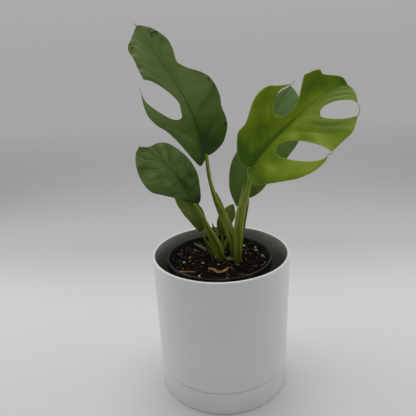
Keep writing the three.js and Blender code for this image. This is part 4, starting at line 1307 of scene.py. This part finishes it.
BLADES["bright_split_leaf"] = {
    "stalk": "bright_leaf_stalk", "rows": 30, "toward": (82, 8, 66), "face": (-0.25, -1, 0.55),
    "length": 106, "fold": 0.3, "arch": 0.03,
    "veins": 8, "vein": 0.3, "quilt": 0.18, "wave": 0.1,
    "ages": [(0, 0.2), (0.12, 0.5), (0.3, 0.62), (0.6, 0.56), (0.8, 0.46), (1, 0.28)],
    # Spots: u, v, width, height and change of tone. The dark spots on the left half are painted
    # shade, where it faces away from the light, and the light spots on the right half are painted
    # light.
    "spots": [(-17, 22, 12, 24, -0.42), (-4, 6, 4, 14, -0.45), (-34, 48, 6, 10, -0.2),
        (-18, 46, 5, 3, 0.22), (14, 14, 8, 6, 0.3), (8, 20, 10, 5, -0.25),
        (30, 38, 12, 16, 0.12), (20, 58, 13, 5, 0.34), (5, 56, 7, 6, -0.2), (11, 62, 7, 6, -0.2),
        (17, 68, 7, 6, -0.2), (23, 73, 7, 6, -0.18), (28, 77, 6, 6, -0.12),
        (30, 74, 6, 12, 0.1), (5, 45, 5, 5, 0.3),
        (-6, 40, 2.5, 22, -0.4), (-20, 84, 8, 14, -0.3), (-9, 82, 3, 8, 0.2),
        (-13, 100, 4, 4, 0.1), (-5, 105, 8, 4, -0.15), (11, 97, 7, 6, 0.15),
        (-4, 92, 2, 10, -0.15)],
    "midrib": [(0, 0), (-4, 24), (-6, 47), (-7, 66), (-7, 83), (-5, 98), (0, 106)],
    "right": ([
        [(0, 0), (2, -3), (5, -5), (11, -7), (17, -3), (21, 2), (28, 12), (36, 24), (40, 35),
         (41, 44), (40, 51), (37, 55)],
        [(38, 58), (37, 70), (36, 80), (31, 88), (28, 92)],
        [(20, 99), (14, 103), (7, 106), (0, 106)]],
        [(6, (3, 28), [(7, 25), (15, 28), (24, 34), (33, 42), (38, 50), (37, 55)],
          [(2, 32), (5, 39), (13, 47), (21, 52), (29, 56), (38, 58)]),
         (18, (3, 75), [(8, 72), (16, 77), (23, 84), (28, 92)],
          [(2, 80), (5, 89), (11, 96), (16, 99), (20, 99)])]),
    "left": ([
        [(0, 0), (-4, -2), (-10, -2), (-17, 1), (-24, 7), (-29, 13), (-30, 22), (-35, 31),
         (-40, 40), (-42, 49), (-41, 57), (-37, 62), (-32, 69), (-29, 74)],
        [(-29, 85), (-25, 97), (-20, 97), (-13, 103), (-7, 107), (0, 106)]],
        [(11, (-15, 49), [(-19, 46), (-24, 48), (-29, 53), (-32, 61), (-31, 68), (-29, 74)],
          [(-13, 54), (-14, 62), (-18, 70), (-24, 78), (-29, 85)])]),
}

# %% Whole leaves
BLADES["left_leaf"] = {
    "stalk": "left_leaf_stalk", "rows": 18, "toward": (-46, 3.5, 53.4), "face": (-0.1, -1, 0.5),
    "length": 70.4, "fold": 0.1, "arch": 0.06,
    "veins": 7, "vein": 1.1, "quilt": 0.9, "wave": 0.4,
    "ages": [(0, 0.08), (0.15, 0.3), (0.35, 0.5), (0.6, 0.66), (0.85, 0.74), (1, 0.74)],
    "spots": [(-11, 54.5, 6, 3.5, -0.4), (6, 20, 2.6, 9, -0.4), (-3, 42, 3, 3, -0.16),
        (15, 60, 4, 3, 0.1), (-4, 30, 2.5, 5, 0.3), (1, 44, 2, 4, 0.25), (13, 34, 3, 3, 0.25),
        (-11, 44, 3, 3, 0.2), (16, 22, 2, 6, -0.25)],
    "midrib": [(0, 0), (3, 17), (6, 28), (6, 38), (6, 49), (3, 61), (0, 71)],
    "right": ([[(0, 0), (3, -2), (8, 1), (15, 10), (20, 18), (23, 27), (24, 36), (23, 46),
                (20, 56), (14, 62), (6, 65), (0, 71)]], []),
    "left": ([[(0, 0), (-4, 7), (-9, 17), (-15, 27), (-20, 36), (-19, 49), (-14, 60), (-7, 68),
               (0, 71)]], []),
}
BLADES["low_left_leaf"] = {
    "stalk": "low_left_leaf_stalk", "rows": 14, "toward": (-22, 6, 40), "face": (0.5, -1, 0.5),
    "length": 46, "fold": 0.15, "arch": 0.02,
    "veins": 6, "vein": 0.4, "quilt": 0.12, "wave": 0.2,
    "ages": [(0, 0.1), (0.35, 0.5), (0.65, 0.66), (1, 0.6)],
    # The two dark spots at u 8 to 10, v 25 to 31 are a painted shadow, where the left leaf shades
    # this one.
    "spots": [(10, 25, 3, 9, -0.4), (8, 31, 4, 4, -0.3), (3, 27, 1.2, 12, 0.2)],
    "midrib": [(0, 0), (2, 13), (3, 27), (1, 46)],
    "right": ([[(0, 0), (7, 3), (11, 9), (13, 17), (12, 25), (8, 35), (1, 46)]], []),
    "left": ([[(0, 0), (-2, 5), (-4, 15), (-6, 26), (-6, 36), (-4, 42), (1, 46)]], []),
}
BLADES["back_leaf"] = {
    "stalk": "back_leaf_stalk", "rows": 18, "toward": (42, 21, 98), "face": (-0.2, -1, 0.4),
    "length": 108.7, "fold": 0.15, "arch": 0.03,
    "veins": 9, "vein": 0.45, "quilt": 0.2, "wave": 0.4,
    "ages": [(0, 0.4), (0.3, 0.5), (0.6, 0.7), (0.85, 0.95), (1, 0.9)],
    "spots": [(-22, 15, 4, 7, -0.25), (2, 9, 4, 6, -0.2)],
    "midrib": [(0, 0), (-5, 24), (-6, 53), (-4, 83), (0, 109)],
    "right": ([[(0, 0), (4, 0), (10, 8), (13, 16), (17, 28), (22, 46), (26, 62), (25, 78),
                (18, 92), (10, 102), (0, 109)]], []),
    "left": ([[(0, 0), (-2, -8), (-6, -13), (-11, -9), (-18, 0), (-23, 12), (-25, 24),
               (-24, 36), (-22, 50), (-19, 66), (-14, 86), (-7, 100), (0, 109)]], []),
}
BLADES["small_back_leaf"] = {
    "stalk": "small_back_leaf_stalk", "rows": 12, "toward": (12, 5, 31), "face": (0.3, -1, 0.2),
    "length": 33.6, "fold": 0.15, "arch": 0.02,
    "veins": 5, "vein": 0.4, "quilt": 0.1, "wave": 0.15,
    "ages": [(0, 0.3), (0.3, 0.6), (0.5, 0.85), (1, 0.95)],
    "spots": [(-8, 22, 3, 6, 0.15), (-4, 13, 3, 4, -0.12)],
    "midrib": [(0, 0), (-1, 11), (-1, 23), (0, 34)],
    "right": ([[(0, 0), (2, 3), (4, 10), (5, 18), (5, 25), (0, 34)]], []),
    "left": ([[(0, 0), (-4, 2), (-9, 8), (-11, 15), (-10, 23), (-5, 31), (0, 34)]], []),
}


# %% All lobes of a blade as one flat mesh
def flat_blade(blade):
    """Points (u, v) with their row along the midrib and their share of the way out."""
    rows = blade["rows"] * ROWS_PER_STEP
    uv, row, out, faces, borders, count = [], [], [], [], [], 0
    for side in ("right", "left"):
        lobes, splits = blade[side]
        for number, margin in enumerate(lobes):
            below = splits[number - 1] if number > 0 else None
            above = splits[number] if number < len(splits) else None
            first = ROWS_PER_STEP * below[0] if below else 0
            last = ROWS_PER_STEP * above[0] if above else rows
            grid = lobe_grid(blade["midrib"], rows, first, last, margin,
                             below and (below[1], below[3]), above and (above[1], above[2]))
            high, wide = grid.shape[:2]
            uv.append(grid.reshape(-1, 2))
            row.append(np.tile(np.linspace(first, last, wide) / rows, high))
            out.append(np.repeat(np.linspace(0, 1, high), wide))
            faces.append(grid_quads(high, wide) + count)
            count += high * wide
            free = LOBE_SEAM * FINENESS  # from here on a lobe's side is a split's edge
            borders.append(grid[-1])
            borders += [grid[free:, k] for k, split in ((0, below), (-1, above)) if split]
    flat = [np.concatenate(part) for part in (uv, row, out, faces)]
    return (*flat, np.concatenate(borders))


def rim_distance(points, border):
    """Distance from each point to the nearest border point."""
    parts = np.array_split(points, 1 + len(points) // 2000)
    near = [((part[:, None] - border[None, ::2]) ** 2).sum(-1).min(axis=1) for part in parts]
    return np.sqrt(np.concatenate(near))


# %% [markdown]
# ## Relief of a blade
#
# On the upper side the midrib lies in a channel, and below it stands out as a keel. The side
# veins are pressed in a little, so the blade swells between them like a quilt. They lean
# towards the tip as they run out. The margin waves gently, and it thins to a rounded edge. A few
# healed marks have a raised rim. Each of these is one term in a sum of heights over the blade's
# plane: a bell curve over the distance to the midrib, or a cosine of the row.


# %% Heights over the blade's plane
VEIN_SWEEP = 0.17  # lean of a side vein towards the tip, as a share of the midrib
GROOVE_DEPTH, BROAD_SWELL, FINE_SWELL, BLISTER_RIM = 0.4, 0.5, 0.07, 0.5  # millimetres
FIBRE_TONE = 0.12


def blade_relief(blade, uv, row, out, seed):
    """Heights in millimetres of the upper side, and the masks that the finish reads."""
    natural = blade["midrib"][-1][1]
    rib = spline(blade["midrib"], np.linspace(0, 1, 300))
    off = uv[:, 0] - np.interp(uv[:, 1], rib[:, 1], rib[:, 0])
    share = np.clip(uv[:, 1] / natural, -0.2, 1.2)
    phase = (row - VEIN_SWEEP * out) * blade["veins"] + 0.12 * np.sin(3 * out + seed)
    to_vein = np.abs((phase + 0.5) % 1 - 0.5) * natural / blade["veins"]
    inside = smoothstep(0.04, 0.22, out) * (1 - smoothstep(0.78, 1, out))
    vein = blade["vein"] * np.exp(-((to_vein / 0.75) ** 2)) * inside
    pillow = 0.5 - 0.5 * np.cos(2 * np.pi * phase)
    taper = np.clip(1.05 - share, 0.08, 1)
    groove = np.exp(-((off / (0.5 + 0.7 * taper)) ** 2))
    wave = np.sin(row * 2 * np.pi * 5.5 + seed) + 0.5 * np.sin(row * 2 * np.pi * 12 + 2 * seed)
    fine = noise(uv[:, 0] + 200, uv[:, 1] + 200, 5.5, seed, 3)
    broad = noise(uv[:, 0] + 200, uv[:, 1] + 200, 26, seed + 5, 2)
    height = blade["quilt"] * (0.6 * pillow * inside - 0.7 * vein) - GROOVE_DEPTH * taper * groove
    height += blade["wave"] * wave * smoothstep(0.5, 1, out) ** 2 + FINE_SWELL * fine
    height += BROAD_SWELL * broad * smoothstep(0.05, 0.5, out)
    fibre = noise(30 + 24 * (row - VEIN_SWEEP * out), 30 + 1.8 * out, 1.0, seed + 9, 2)
    # The tone runs along the blade, with fibres and spots. It is partly the leaf's own colour and
    # partly painted shade and light, named in the blade tables.
    age = np.interp(share, *zip(*blade["ages"]))
    age += FIBRE_TONE * fibre * smoothstep(0, 0.15, out)
    for u, v, wide, high, more in blade["spots"]:
        age += more * np.exp(-(((uv[:, 0] - u) / wide) ** 2) - ((uv[:, 1] - v) / high) ** 2)
    mark = 0 * off
    for u, v, wide, high in blade.get("blisters", []):
        apart = np.hypot((uv[:, 0] - u) / wide, (uv[:, 1] - v) / high)
        mark = np.maximum(mark, 1 - smoothstep(0.75, 1.15, apart))
        height += BLISTER_RIM * np.exp(-(((apart - 0.8) / 0.3) ** 2))
    masks = {"off": off, "share": share, "vein": vein, "groove": groove * (1 - 0.85 * share),
             "age": np.clip(age, 0, 1), "mark": mark}
    return height, masks


def blade_place(blade, masks, uv, height):
    """base + scale (u across + v along) + (fold, arch and relief) up, in millimetres."""
    base = np.array(STALKS[blade["stalk"]][-1][:3]) + [0, 0, SOIL_Z]
    along = np.array(blade["toward"], float)
    along /= np.linalg.norm(along)
    up = np.array(blade["face"], float)
    up -= along * (up @ along)
    up /= np.linalg.norm(up)
    natural = blade["midrib"][-1][1]
    scale = blade["length"] / natural
    share = masks["share"]
    folded = blade["fold"] * (np.hypot(masks["off"], 3) - 3)
    arched = blade["arch"] * natural * 4 * share * (1 - share)
    rise = (folded + arched) * scale + height
    flat = scale * (uv[:, :1] * np.cross(along, up) + uv[:, 1:] * along)
    return base + flat + rise[:, None] * up


# %% Close the two sides into a shell
BLADE_THICKNESS, RIM_THICKNESS, KEEL = 0.55, 0.28, 1.0  # millimetres, as the next two
ROUND_REACH, PALE_REACH = 0.55, 0.45  # how far the edge's rounding and pale line reach inwards
BLADE_MASKS = ("vein", "groove", "edge", "age", "mark")


def open_edges(faces):
    """Directed edges that only one face uses."""
    edges = np.concatenate([np.stack([f, np.roll(f, -1, axis=1)], -1).reshape(-1, 2)
                            for f in faces])
    key = np.sort(edges, axis=1)
    _, back, count = np.unique(key, axis=0, return_inverse=True, return_counts=True)
    return edges[count[back.reshape(-1)] == 1]


def blade_shell(name, blade, seed):
    """Upper and lower side, one thickness apart, joined by a strip along every open edge."""
    uv, row, out, quads, border = flat_blade(blade)
    first, whole, triangles = weld(np.column_stack([uv, 0 * row]), quads)
    uv, row, out = uv[first], row[first], out[first]
    height, masks = blade_relief(blade, uv, row, out, seed)
    rim = rim_distance(uv, border)
    edge = np.exp(-((rim / ROUND_REACH) ** 2))
    thick = BLADE_THICKNESS + (RIM_THICKNESS - BLADE_THICKNESS) * edge
    keel = KEEL * np.exp(-((masks["off"] / 1.25) ** 2)) * np.clip(1.05 - masks["share"], 0, 1)
    upper = blade_place(blade, masks, uv, height - 0.1 * edge)
    lower = blade_place(blade, masks, uv, height - thick - keel - 0.1 * edge)
    points, n = np.concatenate([upper, lower]), len(uv)
    start, end = open_edges([whole, triangles]).T
    side = np.stack([end, start, start + n, end + n], axis=1)
    quads = np.concatenate([whole, whole[:, ::-1] + n, side])
    triangles = np.concatenate([triangles, triangles[:, ::-1] + n])
    quads, triangles = facing_out(points, quads, triangles)
    masks["edge"] = np.exp(-((rim / PALE_REACH) ** 2))
    values = {label: np.concatenate([masks[label]] * 2) for label in BLADE_MASKS}
    values["under"] = (np.arange(2 * n) >= n).astype(float)
    return add_mesh(name, points, quads, triangles, values)


# %% [markdown]
# ## Leaf skin
#
# The leaves differ in age. The newest is yellow-green and thin, the older ones are dark or
# olive, and the one behind is greyer. On all of them the midrib's channel is darker, the veins
# are a shade darker than the quilts between them, the extreme margin is paler, and a cloudy
# variation runs over the whole blade, with faint fibres along the veins. Below, the colour is
# flatter and paler, with a light keel and veins. A waxy cuticle gives the gloss.
# Each blade's tone also holds painted light: on the bright leaf the left half is painted darker
# and the right half lighter, the left leaf's shadow is painted on the low left leaf, and the tall
# leaf's upper part has a painted sheen.


# %% Leaf finishes
STUDIO_LIGHT, STUDIO_VEIL = 0.36, 0.004


def in_light(*levels):
    """The finish's own colour for a colour as it looks in the studio: (seen - veil) / light."""
    return tuple(min(0.9, max(0.002, (x - STUDIO_VEIL) / STUDIO_LIGHT)) for x in srgb(*levels))


def leaf_skin(name, shades, below, rim, gloss):
    """shades run from the darkest to the lightest tone. rim is a colour and its strength."""
    finish = Finish(name, Specular_IOR_Level=gloss[1], Coat_Roughness=0.3)
    where = place(finish)
    vein, groove, edge, under, age, mark = (
        attribute(finish, label) for label in ("vein", "groove", "edge", "under", "age", "mark"))
    cloud = grain(finish, where, 75, 4, 0.55)
    cells = grain(finish, where, 900, 2)
    # age is the blade's own tone with the painted shade and light from the blade tables.
    tone = age + (cloud - 0.5) * 0.45 + (cells - 0.5) * 0.16
    places = np.linspace(0, 1, len(shades))
    stops = [(place, in_light(*shade)) for place, shade in zip(places, shades)]
    base = blend(finish, vein * 0.22, ramp(finish, tone, stops), in_light(*shades[1]))
    base = blend(finish, groove * 0.4, base, in_light(*shades[0]))
    base = blend(finish, mark * 0.7, base, in_light(*shades[0]))
    pale = tuple(min(255, 1.3 * level) for level in below)
    base = blend(finish, under * 0.75, base, in_light(*below))
    base = blend(finish, under * (groove * 0.5 + vein * 0.3), base, in_light(*pale))
    base = blend(finish, edge * rim[1], base, in_light(*rim[0]))
    fine = cells * 0.5 + grain(finish, where, 260, 3) * 0.5
    return finish.feed(
        Base_Color=base, Roughness=cloud * 0.12 + gloss[0] + under * 0.12 - mark * 0.12,
        Coat_Weight=0.18 - under * 0.15, Normal=bump(finish, fine, 0.06, 0.5),
    ).material


DARK_SHADES = [(25, 41, 3), (41, 57, 15), (52, 68, 29), (64, 78, 40), (76, 89, 51)]
GREY_SHADES = [(38, 52, 6), (54, 70, 24), (62, 77, 35), (64, 80, 44), (68, 86, 53)]
OLIVE_SHADES = [(34, 42, 6), (48, 57, 8), (60, 70, 22), (70, 80, 34), (84, 96, 46)]
BRIGHT_SHADES = [(42, 62, 2), (60, 78, 3), (72, 88, 10), (87, 100, 30), (99, 111, 46)]
LEAF_SKINS = {
    "dark": leaf_skin("leaf_skin_dark", DARK_SHADES, (72, 88, 50), ((76, 92, 46), 0.35),
                      (0.36, 0.22)),
    "grey": leaf_skin("leaf_skin_grey", GREY_SHADES, (78, 93, 58), ((84, 98, 56), 0.35),
                      (0.38, 0.22)),
    "olive": leaf_skin("leaf_skin_olive", OLIVE_SHADES, (80, 92, 50), ((92, 100, 60), 0.35),
                       (0.4, 0.2)),
    "bright": leaf_skin("leaf_skin_bright", BRIGHT_SHADES, (112, 128, 58), ((124, 138, 56), 0.65),
                        (0.34, 0.12)),
}
BLADE_FINISHES = {  # blade: material slot of the record, and skin
    "tall_split_leaf": ("leaf_dark", "dark"), "left_leaf": ("leaf_dark", "dark"),
    "low_left_leaf": ("leaf_dark", "olive"), "back_leaf": ("leaf_grey", "grey"),
    "small_back_leaf": ("leaf_grey", "olive"), "bright_split_leaf": ("leaf_bright", "bright"),
}
for seed, (name, blade) in enumerate(BLADES.items(), 200):
    slot, skin = BLADE_FINISHES[name]
    piece = blade_shell(name.replace("_leaf", "_blade"), blade, seed)
    belongs(piece, slot, LEAF_SKINS[skin], name)

# %% [markdown]
# ## Threads
#
# When a leaf of this plant unrolls, the strip of tissue that closed each split tears. It stays
# as a fine pale thread from lobe to lobe, or as a dry curl at a lobe's tip. A thread is a thin
# round rod whose path is given in the blade's own (u, v), so it stays on the leaf.

# %% Threads: u, v and height over the blade, thickness at the two ends
THREADS = {
    "bright_split_leaf": [
        ([(28, 91.6, 0), (26.6, 94.6, 0.9), (23.6, 97.6, 1.1), (20.2, 99, 0)], 0.3, 0.26),
        ([(37.2, 54.6, 0), (38.6, 54.9, 0.8), (38.9, 56.6, 0.8), (38, 58, 0)], 0.28, 0.24),
        ([(-29.2, 73.6, 0), (-29.6, 74.8, 0.4), (-30.4, 75.1, 0.7), (-30.9, 74.5, 0.8)],
         0.3, 0.14),
    ],
    "tall_split_leaf": [
        ([(0, 128.6, 0), (-0.8, 130.6, 0.4), (-2, 132, 1.2)], 0.34, 0.14),
        ([(-25.2, 74.4, 0), (-25.3, 76.2, 0.4), (-24.4, 77.6, 1)], 0.3, 0.12),
    ],
}


def blade_point(blade, u, v, height):
    """A place on a blade from its own u and v."""
    natural = blade["midrib"][-1][1]
    rib = spline(blade["midrib"], np.linspace(0, 1, 300))
    masks = {"off": u - np.interp(v, rib[:, 1], rib[:, 0]),
             "share": np.clip(v / natural, -0.2, 1.2)}
    return blade_place(blade, masks, np.stack([u, v], -1), height)


def thread_skin():
    """Dry tissue, from olive to cream."""
    finish = Finish("thread_skin", Specular_IOR_Level=0.3)
    tone = grain(finish, place(finish), 700, 3)
    return finish.feed(Base_Color=blend(finish, tone, srgb(84, 92, 34), srgb(150, 154, 92)),
                       Roughness=tone * 0.2 + 0.45, Normal=bump(finish, tone, 0.05)).material


THREAD_SKIN = thread_skin()
for name, threads in THREADS.items():
    for number, (path, start, end) in enumerate(threads, 1):
        path = np.array(path, float)
        stations = blade_point(BLADES[name], path[:, 0], path[:, 1], path[:, 2] - 0.25)
        radius = np.linspace(start, end, len(path))
        stations = np.column_stack([stations - [0, 0, SOIL_Z], radius, radius])
        piece = rod(f"{name}_thread_{number}", stations, 40, 12)
        belongs(piece, BLADE_FINISHES[name][0], THREAD_SKIN)
